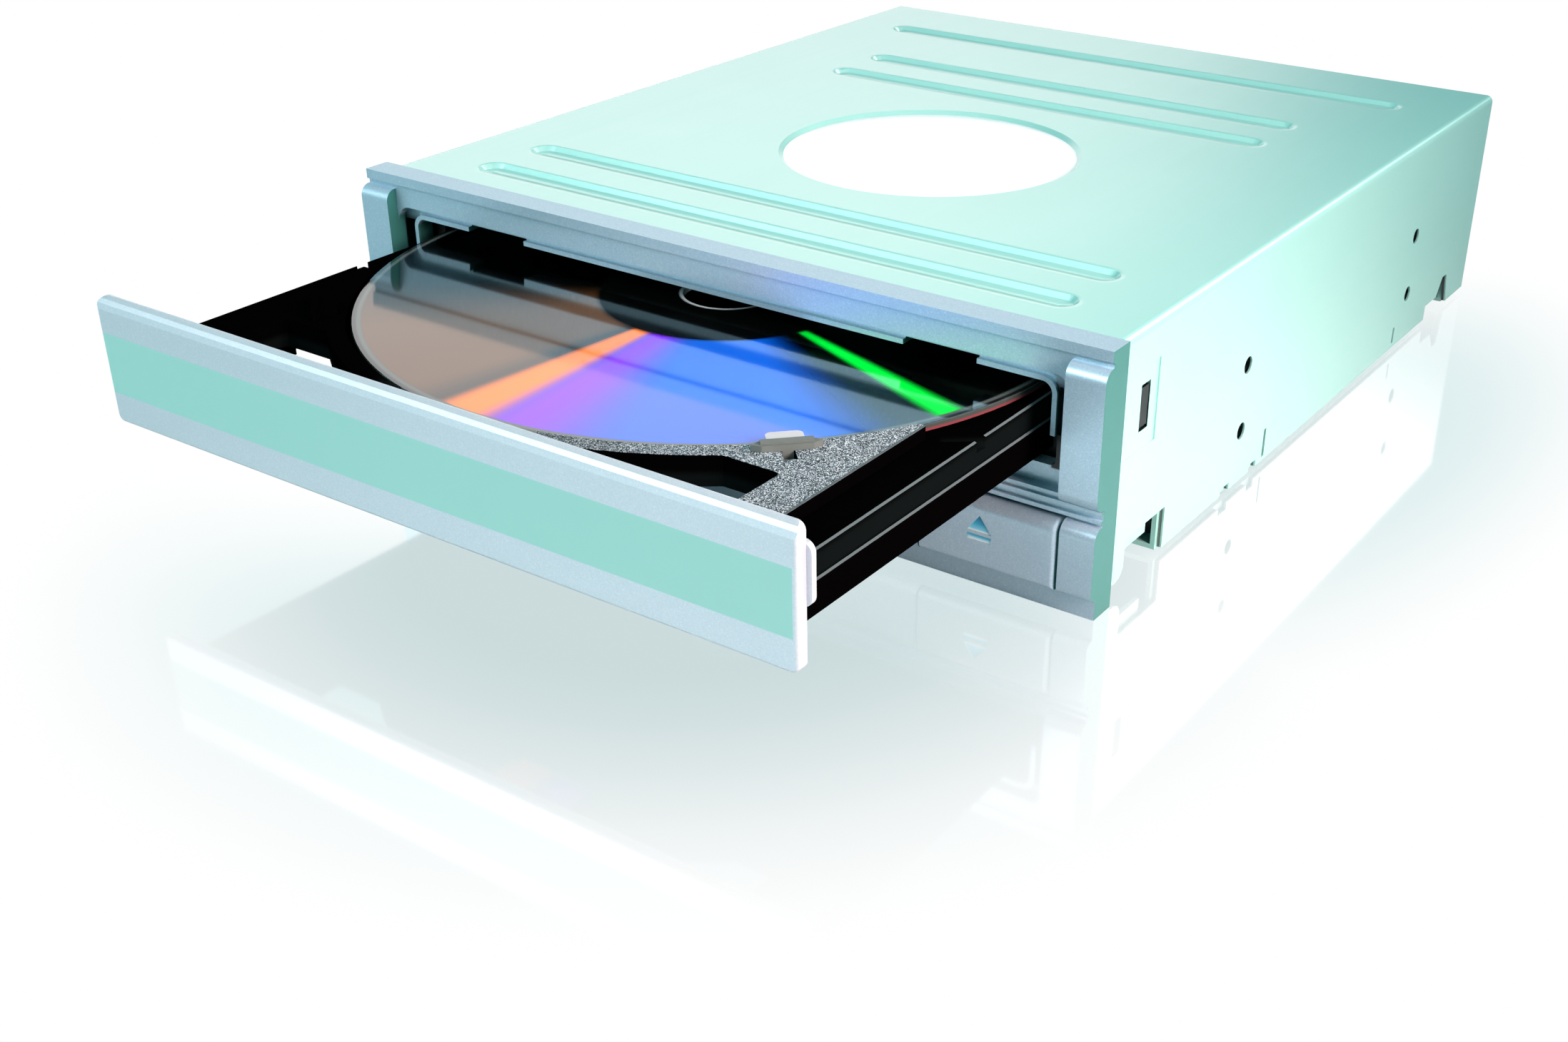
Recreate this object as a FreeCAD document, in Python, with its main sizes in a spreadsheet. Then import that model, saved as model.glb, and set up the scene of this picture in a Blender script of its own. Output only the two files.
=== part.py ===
import FreeCAD, Part
import math
import os
import re
import Sketcher

# Internal 5.25 inch half-height DVD drive with its tray half out and a disc in it.
# Drawing frame: x to the right, y to the rear from the bezel's rear face, z up from the underside.
# The finished part's origin is the middle of the four bottom mounting holes, on the underside.

SIZES = [
    # Casing and its standard mounting holes
    ("case_wide", 146.0), ("case_high", 41.3), ("case_deep", 164.0),
    ("sheet", 0.8), ("bend", 1.3), ("fold_gap", 0.05),
    ("hole_first", 47.4), ("hole_pitch", 79.25), ("hole_low", 10.0), ("hole_rise", 11.84),
    ("hole_inset", 3.15), ("hole_bore", 1.5), ("boss_bore", 2.2), ("boss_high", 1.8),
    # Pressed marks and cut-outs of the casing
    ("rib_deep", 0.7), ("rib_half", 2.5), ("rib_inset", 13.0), ("rib_front", 10.0), ("rib_second", 23.4),
    ("rib_third", 103.5), ("rib_fourth", 117.8), ("rib_rear", 144.0), ("rib_short_inset", 24.5),
    ("spindle_y", 64.3), ("dish", 27.7), ("flange_high", 25.0), ("corner_inset", 6.5),
    ("latch_y", 7.9), ("latch_long", 2.9), ("latch_low", 24.5), ("latch_high", 32.1),
    ("press_far", 13.2), ("press_low", 21.6), ("press_top", 35.0), ("press_deep", 0.25),
    ("lobe_long", 5.9), ("lobe_low", 1.2), ("lobe_round", 2.4), ("foot_cut_top", 7.6), ("foot_cut_end", 19.4),
    ("ear_low", 5.0), ("ear_end", 14.5), ("pan_start", 18.6), ("slit_wide", 0.9),
    # Front bezel
    ("bezel_over", 1.1), ("bezel_low", -0.9), ("bezel_top", 41.9), ("bezel_thick", 4.4),
    ("pillar_out", 2.25), ("panel_play", 2.2), ("pillar_low", 17.2), ("pillar_top", 39.3),
    ("brow_low", 40.2), ("brow_out", 0.5), ("block_low", 2.5), ("block_top", 14.5), ("shoulder", 2.0),
    ("recess_low", 17.9), ("recess_top", 36.3), ("recess_floor", 2.6), ("recess_round", 3.0),
    ("mouth_play", 2.1), ("mouth_low", 21.0), ("mouth_top", 34.3), ("mouth_round", 1.8),
    ("lip", 0.8), ("lip_end", 26.1), ("notch_inset", 12.7), ("notch_wide", 12.9), ("notch_up", 1.0),
    ("gutter_floor", 0.8), ("gutter_top", 33.6),
    ("ridge", 0.6), ("ridge_out", 0.5), ("ridge_upper", 16.4), ("ridge_lower", 14.95),
    # Eject button, light and emergency hole
    ("button_inset", 6.2), ("button_wide", 23.6), ("button_low", 2.9), ("button_top", 14.2),
    ("button_proud", 0.15), ("button_gap", 0.4), ("button_shell", 1.8), ("button_press", 0.6),
    ("symbol_inset", 10.6), ("symbol_z", 8.4), ("symbol_wide", 4.2), ("symbol_bar", 1.0), ("symbol_gap", 0.5),
    ("symbol_high", 2.8), ("symbol_deep", 0.8), ("light_off", 17.3), ("light_wide", 6.0), ("light_high", 1.6),
    ("light_z", 8.4), ("pin_hole_x", 12.0), ("pin_hole", 0.7), ("hollow_low", 1.0), ("hollow_top", 13.2),
    ("switch_inset", 12.7), ("switch_face", -0.6), ("switch_front", 0.8), ("switch_wide", 6.0), ("plunger", 1.4),
    ("front_board_y", 3.6), ("front_board_thick", 1.2),
    # Tray, measured from the middle of its disc
    ("tray_rest", 3.9), ("travel_in", 60.3), ("front_inset", 7.4), ("tray_rear", 89.1), ("deck_top", 33.0),
    ("deck_under", 28.3), ("rail_play", 0.3), ("rail_wide", 6.4), ("rail_low", 26.9), ("rail_top", 30.9),
    ("rail_set", 0.3), ("skirt_thick", 1.5), ("skirt_low", 21.9), ("well_inset", 1.1), ("well_floor", 30.8),
    ("small_well", 40.8), ("small_floor", 29.9), ("hub_hole", 20.0), ("slot_half", 21.0), ("slot_end", 57.0),
    ("window_in", 18.0), ("window_inset", 7.4), ("sill_inset", 10.0), ("rim_wide", 2.9), ("front_wall", 2.2),
    ("window_round", 1.0), ("edge_bevel", 0.25), ("shoulder_end", 27.6), ("notch_deep", 1.9),
    ("finger_half", 13.0), ("finger_in", 51.0),
    # Tray front panel
    ("panel_over", 3.5), ("panel_low", 18.5), ("panel_top", 38.9), ("panel_thick", 2.8), ("panel_slope", 1.8),
    ("panel_lap", 0.8), ("lap_low", 27.2), ("lap_top", 36.1), ("lap_thick", 0.9),
    # Disc and the four clips that hold it when the drive stands on its side
    ("disc_play", 0.9), ("disc_bore", 7.5), ("disc_thick", 1.2), ("disc_gap", 0.1),
    ("clip_off", 1.8), ("clip_long", 9.9), ("clip_wide", 1.8), ("clip_high", 0.9), ("clip_tab", 5.2),
    ("clip_reach", 2.5), ("clip_slide", 2.6), ("clip_stem", 1.6), ("clip_play", 0.15),
    # Loader frame
    ("side_room", 10.7), ("frame_wall", 2.0), ("frame_top", 34.0), ("frame_front", 1.2), ("frame_rear", 158.0),
    ("slide_gap", 0.08), ("ledge_thick", 2.0), ("ledge_reach", 2.0), ("guide_reach", 2.0), ("guide_thick", 1.2),
    ("post_inset", 2.3), ("post_front", 20.0), ("post_rear", 150.0),
    ("foot_high", 2.2), ("beam_front", 4.8), ("beam_rear", 30.0), ("beam_top", 15.9), ("beam_thick", 2.0),
    ("bracket_low", 6.0), ("bracket_top", 8.0),
    # Tray drive
    ("tooth", 1.0), ("gear_inset", 11.1), ("gear_y", 15.0), ("gear_low", 19.4), ("gear_step", 22.0),
    ("gear_top", 28.0), ("fine_tooth", 0.65), ("post", 1.5), ("run_gap", 0.08), ("pulley", 10.4),
    ("pulley_thick", 2.8), ("motor_x", 3.0), ("motor_y", 17.5), ("motor", 9.5), ("motor_high", 9.6),
    ("motor_pulley", 2.4), ("belt", 1.2), ("belt_gap", 0.05), ("rack_thick", 2.4), ("rack_low", 24.6),
    # Clamp above the disc
    ("bridge_low", 35.6), ("bridge_half", 8.0), ("bridge_ring", 19.0), ("bridge_hole", 12.6),
    ("puck", 12.3), ("puck_flange", 15.0), ("puck_low", 34.0), ("magnet", 9.0),
    # Traverse with spindle and pickup
    ("mech_front", 38.0), ("mech_rear", 142.0), ("mech_low", 9.0), ("mech_plate", 2.0),
    ("mech_wall", 16.8), ("rod_inset", 19.0), ("rod_z", 14.0), ("rod", 1.5), ("rod_front", 82.0),
    ("screw_inset", 10.0), ("screw", 1.5), ("damper", 4.5), ("damper_low", 8.0),
    ("damper_high", 6.4), ("lug_inset", 10.3), ("lug_long", 6.0), ("lug_front", 46.0), ("lug_rear", 134.0),
    ("rotor", 13.0), ("rotor_low", 13.2), ("rotor_top", 19.4), ("table", 15.0), ("table_low", 20.0),
    ("table_top", 22.0), ("cone_high", 3.2), ("shaft", 1.0), ("sled_y", 94.5),
    ("sled_half", 12.0), ("sled_low", 11.6), ("sled_top", 18.6), ("lens", 2.4), ("lens_ahead", 6.0),
    # Main board and its connectors
    ("board_front", 62.0), ("board_rear", 162.6), ("board_low", 2.6),
    ("board_thick", 1.6), ("plug_high", 9.0), ("plug_deep", 9.5),
    ("plug_wall", 1.1), ("power_wide", 21.4), ("data_wide", 55.0), ("jumper_wide", 8.5), ("audio_wide", 16.0),
    ("pitch", 2.54), ("pin_thick", 0.6), ("stud", 1.0),
]

# Sizes that follow from the ones above, so that the widths stay in step with the case
FOLLOWS = {
    "hole_across": "(case_wide - 2 * hole_inset)",
    "rib_reach": "(case_wide / 2 - rib_inset)",
    "rib_short": "(case_wide / 2 - rib_short_inset)",
    "pan_half": "(case_wide / 2 - sheet - fold_gap)",
    "frame_in": "(case_wide / 2 - side_room)",
    "rail_half": "(frame_in - rail_play)",
    "ledge_in": "(frame_in - ledge_reach)",
    "guide_in": "(frame_in - guide_reach)",
    "post_x": "(frame_in - post_inset)",
    "rail_side": "(rail_half - rail_set)",
    "deck_half": "(rail_half - rail_wide)",
    "well": "(rail_half - well_inset)",
    "disc": "(well - disc_play)",
    "rim": "(well + rim_wide)",
    "tray_front": "(well + front_inset)",
    "window_rear": "(well - sill_inset)",
    "window_out": "(deck_half - window_inset)",
    "clip_out": "(well + clip_off)",
    "mouth_half": "(rail_half + mouth_play)",
    "panel_half": "(rail_half + panel_over)",
    "pillar_in": "(panel_half + panel_play)",
    "bezel_half": "(case_wide / 2 + bezel_over)",
    "notch_out": "(mouth_half - notch_inset)",
    "notch_in": "(notch_out - notch_wide)",
    "button_right": "(bezel_half - button_inset)",
    "button_left": "(button_right - button_wide)",
    "symbol_x": "(button_left + symbol_inset)",
    "switch_x": "(button_left + switch_inset)",
    "light_x": "(button_left - light_off)",
    "gear_x": "(gear_inset - deck_half)",
    "lug_x": "(frame_in - lug_inset)",
    "mech_half": "(lug_x - lug_long)",
    "rod_x": "(mech_half - rod_inset)",
    "screw_x": "(mech_half - screw_inset)",
    "board_half": "(frame_in - post_inset)",
    "plug_gap": "((frame_in - 51.4) * 0.42)",
    "data_left": "(power_wide + plug_gap - board_half)",
    "jumper_left": "(data_left + data_wide + plug_gap)",
    "audio_left": "(jumper_left + jumper_wide + plug_gap)",
}

doc = FreeCAD.newDocument("dvd_drive")
sheet = doc.addObject("Spreadsheet::Sheet", "Sizes")
for row, (alias, length) in enumerate(SIZES, 1):
    sheet.set(f"A{row}", alias)
    sheet.set(f"B{row}", str(length))
    sheet.setAlias(f"B{row}", alias)
doc.recompute()

NODES = []
DATUM = "(hole_first + hole_pitch / 2)"


def cell(text):
    """Turn plain size names into references to the sheet, the sizes that follow from others too."""
    def swap(found):
        name = found.group(0)
        return cell(FOLLOWS[name]) if name in FOLLOWS else "Sizes." + name
    return re.sub(r"[a-z][a-z_0-9]*", swap, str(text))


def number(text):
    """The present value of an expression of size names."""
    found = sheet.evalExpression(cell(text))
    return float(getattr(found, "Value", found))


def bind(thing, **texts):
    for name, text in texts.items():
        thing.setExpression(name.replace("__", "."), cell(text))


def seat(thing, name, x="0", y="0", z="0", turn=0.0, axis=(0, 0, 1)):
    """Label a finished sub-part and place it against the part's origin."""
    if thing.TypeId in ("Part::Box", "Part::Cylinder"):
        thing = group(thing)
    thing.Label = name
    spot = FreeCAD.Vector(number(x), number(f"{y} - {DATUM}"), number(z))
    thing.Placement = FreeCAD.Placement(spot, FreeCAD.Rotation(FreeCAD.Vector(*axis), turn))
    bind(thing, Placement__Base__x=x, Placement__Base__y=f"{y} - {DATUM}", Placement__Base__z=z)
    NODES.append((name, thing))
    return thing


# Sketch outlines

def pin(sketch, item, end, x, y):
    for kind, text in (("DistanceX", x), ("DistanceY", y)):
        index = sketch.addConstraint(Sketcher.Constraint(kind, -1, 1, item, end, number(text)))
        sketch.setExpression(f"Constraints[{index}]", cell(text))


def size_of(sketch, item, radius):
    index = sketch.addConstraint(Sketcher.Constraint("Radius", item, number(radius)))
    sketch.setExpression(f"Constraints[{index}]", cell(radius))


def point(x, y):
    return FreeCAD.Vector(number(x), number(y), 0)


def ring(*corners):
    """A closed outline; a square corner may have a third entry, its radius."""
    def draw(sketch):
        runs = []
        count = len(corners)
        spots = [point(c[0], c[1]) for c in corners]
        for i, corner in enumerate(corners):
            if len(corner) == 2:
                runs.append([corner, corner])
                continue
            x, y, radius = corner
            back = (spots[i - 1] - spots[i]).normalize()
            ahead = (spots[(i + 1) % count] - spots[i]).normalize()
            ends = [(f"{x} + {round(way.x)} * ({radius})", f"{y} + {round(way.y)} * ({radius})")
                    for way in (back, ahead)]
            runs.append(ends)
        joints = []
        for i in range(count):
            start, finish = runs[i][1], runs[(i + 1) % count][0]
            item = sketch.addGeometry(Part.LineSegment(point(*start), point(*finish)), False)
            pin(sketch, item, 1, *start)
            if len(corners[(i + 1) % count]) == 3:
                pin(sketch, item, 2, *finish)
            joints.append(item)
        for i, corner in enumerate(corners):
            before, after = joints[i - 1], joints[i]
            if len(corner) == 2:
                sketch.addConstraint(Sketcher.Constraint("Coincident", before, 2, after, 1))
                continue
            a, b = point(*runs[i][0]), point(*runs[i][1])
            centre = a + b - spots[i]
            middle = centre + (spots[i] - centre).normalize() * number(corner[2])
            arc = sketch.addGeometry(Part.Arc(a, middle, b), False)
            leads = sketch.getPoint(arc, 1).distanceToPoint(a) < 1e-6
            sketch.addConstraint(Sketcher.Constraint("Coincident", arc, 1 if leads else 2, before, 2))
            sketch.addConstraint(Sketcher.Constraint("Coincident", arc, 2 if leads else 1, after, 1))
            size_of(sketch, arc, corner[2])
    return draw


def box(x0, x1, y0, y1, radius=None):
    corners = [(x0, y0), (x1, y0), (x1, y1), (x0, y1)]
    return ring(*(c if radius is None else c + (radius,) for c in corners))


def hole(x, y, radius):
    def draw(sketch):
        item = sketch.addGeometry(Part.Circle(point(x, y), FreeCAD.Vector(0, 0, 1), number(radius)), False)
        pin(sketch, item, 3, x, y)
        size_of(sketch, item, radius)
    return draw


def cap(chord, radius):
    """The part of a disc that lies below a chord at a negative y."""
    def draw(sketch):
        reach = f"((({radius}) ^ 2 - ({chord}) ^ 2) ^ 0.5)"
        line = sketch.addGeometry(Part.LineSegment(point(f"-{reach}", chord), point(reach, chord)), False)
        bow = Part.Arc(point(f"-{reach}", chord), point("0", f"-({radius})"), point(reach, chord))
        arc = sketch.addGeometry(bow, False)
        leads = sketch.getPoint(arc, 1).distanceToPoint(point(reach, chord)) < 1e-6
        pin(sketch, line, 1, f"-{reach}", chord)
        pin(sketch, line, 2, reach, chord)
        sketch.addConstraint(Sketcher.Constraint("Coincident", arc, 1 if leads else 2, line, 2))
        sketch.addConstraint(Sketcher.Constraint("Coincident", arc, 2 if leads else 1, line, 1))
        size_of(sketch, arc, radius)
    return draw


def pill(x0, x1, y, radius):
    """A slot along the sketch's x with round ends centred on x0 and x1."""
    def draw(sketch):
        over, under = f"{y} + {radius}", f"{y} - ({radius})"
        quarter, flat = math.pi / 2, FreeCAD.Vector(0, 0, 1)
        ends = [Part.Circle(point(x, y), flat, number(radius)) for x in (x0, x1)]
        upper = sketch.addGeometry(Part.LineSegment(point(x1, over), point(x0, over)), False)
        lower = sketch.addGeometry(Part.LineSegment(point(x0, under), point(x1, under)), False)
        left = sketch.addGeometry(Part.ArcOfCircle(ends[0], quarter, 3 * quarter), False)
        right = sketch.addGeometry(Part.ArcOfCircle(ends[1], -quarter, quarter), False)
        chain = (upper, left, lower, right, upper)
        for one, end, two, start in ((a, 2, b, 1) for a, b in zip(chain, chain[1:])):
            sketch.addConstraint(Sketcher.Constraint("Tangent", one, end, two, start))
        pin(sketch, left, 3, x0, y)
        pin(sketch, right, 3, x1, y)
        size_of(sketch, left, radius)
    return draw


# Solid features on a body's own origin planes

PLANES = {"xy": "XY_Plane", "xz": "XZ_Plane", "yz": "YZ_Plane"}


def body(name):
    made = doc.addObject("PartDesign::Body", name)
    made.AllowCompound = True
    return made


def origin(owner, role):
    return next(item for item in owner.Origin.OriginFeatures if item.Role == role)


def sketch_on(owner, plane, height, outlines, spin=0.0):
    sketch = owner.newObject("Sketcher::SketchObject", owner.Name + "_sketch")
    sketch.AttachmentSupport = [(origin(owner, PLANES[plane]), "")]
    sketch.MapMode = "FlatFace"
    sketch.AttachmentOffset = FreeCAD.Placement(FreeCAD.Vector(), FreeCAD.Rotation(FreeCAD.Vector(0, 0, 1), spin))
    bind(sketch, AttachmentOffset__Base__z=height)
    for outline in outlines:
        outline(sketch)
    return sketch


def add(owner, plane, low, high, *outlines, spin=0.0):
    """Pad between two levels across the plane: z for xy, x for yz, y for xz."""
    height = f"-({high})" if plane == "xz" else low
    made = owner.newObject("PartDesign::Pad", owner.Name + "_pad")
    made.Profile = sketch_on(owner, plane, height, outlines, spin)
    bind(made, Length=f"({high}) - ({low})")
    return made


def cut(owner, plane, low, high, *outlines, spin=0.0, lean=0.0):
    """Pocket between two levels across the plane; its walls may lean in towards its floor."""
    height = f"-({low})" if plane == "xz" else high
    made = owner.newObject("PartDesign::Pocket", owner.Name + "_pocket")
    made.Profile = sketch_on(owner, plane, height, outlines, spin)
    made.Type = 0
    made.TaperAngle = -lean
    bind(made, Length=f"({high}) - ({low})")
    return made


def turn(owner, *corners):
    """Revolve an outline of radius and height about the body's own z."""
    made = owner.newObject("PartDesign::Revolution", owner.Name + "_turned")
    made.Profile = sketch_on(owner, "xz", "0", [ring(*corners)])
    made.ReferenceAxis = (made.Profile[0], ["V_Axis"])
    made.Angle = 360
    return made


def mirrored(owner, originals, role="YZ_Plane"):
    doc.recompute()
    made = owner.newObject("PartDesign::Mirrored", owner.Name + "_mirrored")
    made.Originals = originals
    made.MirrorPlane = (origin(owner, role), [""])
    owner.Tip = made
    return made


def around(owner, feature, count):
    doc.recompute()
    made = owner.newObject("PartDesign::PolarPattern", owner.Name + "_around")
    made.Originals = [feature]
    made.Axis = (origin(owner, "Z_Axis"), [""])
    made.Angle = 360
    made.Occurrences = count
    owner.Tip = made
    return made


def along(owner, feature, role, length, count):
    doc.recompute()
    made = owner.newObject("PartDesign::LinearPattern", owner.Name + "_along")
    made.Originals = [feature]
    made.Direction = (origin(owner, role), [""])
    bind(made, Length=length)
    made.Occurrences = count
    owner.Tip = made
    return made


def soften(owner, radius, *places, kind="Fillet"):
    """Round or bevel the edges that lie wholly at one of the given places."""
    doc.recompute()
    base = owner.Tip
    picks = []
    for index, edge in enumerate(base.Shape.Edges, 1):
        marks = [edge.valueAt(edge.FirstParameter), edge.valueAt(edge.LastParameter),
                 edge.valueAt((edge.FirstParameter + edge.LastParameter) / 2)]
        for place in places:
            if all(abs(getattr(mark, axis) - number(text)) < 0.01 for axis, text in place.items() for mark in marks):
                picks.append(f"Edge{index}")
                break
    made = owner.newObject("PartDesign::" + kind, owner.Name + "_" + kind.lower())
    made.Base = (base, picks)
    bind(made, **{"Radius" if kind == "Fillet" else "Size": radius})
    return made


# Plain pieces and groups of like pieces

def solid(kind, x="0", y="0", z="0", turn=0.0, axis=(0, 0, 1), **sizes):
    made = doc.addObject("Part::" + kind, kind)
    bind(made, **sizes)
    made.Placement = FreeCAD.Placement(FreeCAD.Vector(number(x), number(y), number(z)),
                                       FreeCAD.Rotation(FreeCAD.Vector(*axis), turn))
    bind(made, Placement__Base__x=x, Placement__Base__y=y, Placement__Base__z=z)
    return made


def block(x0, x1, y0, y1, z0, z1):
    return solid("Box", x0, y0, z0, Length=f"({x1}) - ({x0})", Width=f"({y1}) - ({y0})",
                 Height=f"({z1}) - ({z0})")


def rod(x, y, z, radius, length, axis=(0, 0, 1), turn=0.0):
    return solid("Cylinder", x, y, z, turn, axis, Radius=radius, Height=length)


def fused(*pieces):
    made = doc.addObject("Part::MultiFuse", "Fused")
    made.Shapes = list(pieces)
    return made


def less(whole, *tools):
    made = doc.addObject("Part::Cut", "Less")
    made.Base = whole
    made.Tool = tools[0] if len(tools) == 1 else fused(*tools)
    return made


def group(*pieces):
    made = doc.addObject("Part::Compound", "Group")
    made.Links = list(pieces)
    return made


LYING = dict(axis=(1, 0, 0), turn=-90.0)


# Casing

RIBS = [("rib_front", "rib_reach"), ("rib_second", "rib_reach"), ("rib_third", "rib_short"),
        ("rib_fourth", "rib_short"), ("rib_rear", "rib_reach")]
SIDE_HOLES = [hole(f"hole_first + {i} * hole_pitch", f"hole_low + {j} * hole_rise", "hole_bore")
              for i in (0, 1) for j in (0, 1)]


POSTS = [(x, y) for x in ("-post_x", "post_x") for y in ("post_front", "post_rear")]


def top_cover():
    cover = body("top_cover")
    half, inner = "case_wide / 2", "case_wide / 2 - sheet"
    add(cover, "xz", "0", "case_deep",
        ring((f"-({half})", "0.3"), (half, "0.3"), (half, "case_high", "bend"), (f"-({half})", "case_high", "bend")))
    cut(cover, "xz", "-1", "case_deep + 1",
        ring((f"-({inner})", "-1"), (inner, "-1"), (inner, "case_high - sheet", "bend - sheet"),
             (f"-({inner})", "case_high - sheet", "bend - sheet")))
    under = "case_high - sheet - rib_deep"
    add(cover, "xy", under, "case_high - sheet / 2",
        *(pill(f"-{reach} + rib_half", f"{reach} - rib_half", y, "rib_half + 0.3") for y, reach in RIBS),
        hole("0", "spindle_y", "dish + 0.3"))
    for y, reach in RIBS:
        cut(cover, "xy", "case_high - rib_deep", "case_high",
            pill(f"-{reach} + rib_half", f"{reach} - rib_half", y, "rib_half + 0.3"), lean=50.0)
    cut(cover, "xy", "case_high - rib_deep", "case_high", hole("0", "spindle_y", "dish + 0.3"), lean=50.0)
    latch = box("latch_y", "latch_y + latch_long", "latch_low", "latch_high")
    slits = [box(y, f"{y} + slit_wide", low, high) for y, low, high in (("58", "1", "6.3"), ("121", "1.3", "4.5"))]
    front = ring(("-1", "-1"), ("foot_cut_end", "-1"), ("foot_cut_end", "foot_cut_top"), ("lobe_long", "foot_cut_top"),
                 ("lobe_long", "lobe_low", "lobe_round"), ("-1", "lobe_low"))
    rear = ring(("140", "-1"), ("140", "3.2"), ("146.5", "3.2"), ("149", "6.8"), ("151.5", "6.8"), ("153.7", "-1"))
    reliefs = [box("41.2", "44.6", "-1", "1.6"), box("52.5", "55.5", "-1", "1.6")]
    cut(cover, "yz", f"-({half}) - 1", f"{half} + 1", latch, front, rear, *slits, *reliefs, *SIDE_HOLES)
    pressed = cut(cover, "yz", f"{half} - press_deep", f"{half} + 1",
                  box("-1", "press_far", "press_low", "press_top"))
    mirrored(cover, [pressed])
    return seat(cover, "top_cover")


def bottom_cover():
    pan = body("bottom_cover")
    add(pan, "xy", "0", "sheet", box("-pan_half", "pan_half", "0.6", "case_deep"))
    side = add(pan, "yz", "pan_half - sheet", "pan_half",
               ring(("pan_start", "0"), ("case_deep", "0"), ("case_deep", "flange_high"), ("lobe_long", "flange_high"),
                    ("lobe_long", "ear_low"), ("ear_end", "ear_low"), ("ear_end", "foot_cut_top + 0.8"),
                    ("pan_start", "foot_cut_top + 0.8")))
    mirrored(pan, [side])
    roof = "case_high - sheet - fold_gap"
    add(pan, "xz", "case_deep - sheet", "case_deep",
        ring(("-pan_half", "0"), ("pan_half", "0"), ("pan_half", roof, "bend"), ("-pan_half", roof, "bend")))
    corner = cut(pan, "xy", "-1", "sheet + 0.5", box("case_wide / 2 - corner_inset", "pan_half + 1", "0", "pan_start"))
    foot = cut(pan, "xy", "-1", "7.4", box("pan_half - 5", "pan_half + 1", "140.5", "153.2"))
    mirrored(pan, [corner, foot])
    spots = [(f"{s} * hole_across / 2", f"hole_first + {i} * hole_pitch") for s in (-1, 1) for i in (0, 1)]
    add(pan, "xy", "0", "boss_high", *(hole(x, y, "boss_bore") for x, y in spots[:2]))
    add(pan, "xy", "0", "boss_high", *(hole(x, y, "boss_bore") for x, y in spots[2:]))
    add(pan, "xy", "0", "board_low",
        *(hole(f"{side} * (board_half - 6)", y, "3") for side in (-1, 1) for y in ("68", "138")))
    cut(pan, "xy", "-1", "boss_high + 1", *(hole(x, y, "hole_bore") for x, y in spots))
    cut(pan, "xy", "-1", "2", *(hole(x, y, "1.6") for x, y in POSTS))
    cut(pan, "yz", "-pan_half - 1", "pan_half + 1", *SIDE_HOLES)
    cut(pan, "xz", "case_deep - 2", "case_deep + 1",
        box("-board_half - 1", "audio_left + audio_wide + 1", "board_low + board_thick - 0.6", "15"))
    return seat(pan, "bottom_cover")


def cover_screws():
    pieces = []
    for x, y in POSTS:
        head = solid("Cone", x, y, "0.1", Radius1="1.58", Radius2="1.5", Height="0.7")
        pieces.append(fused(head, rod(x, y, "0.5", "1.4", "3.4")))
    return seat(group(*pieces), "cover_screws")


# Front

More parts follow.
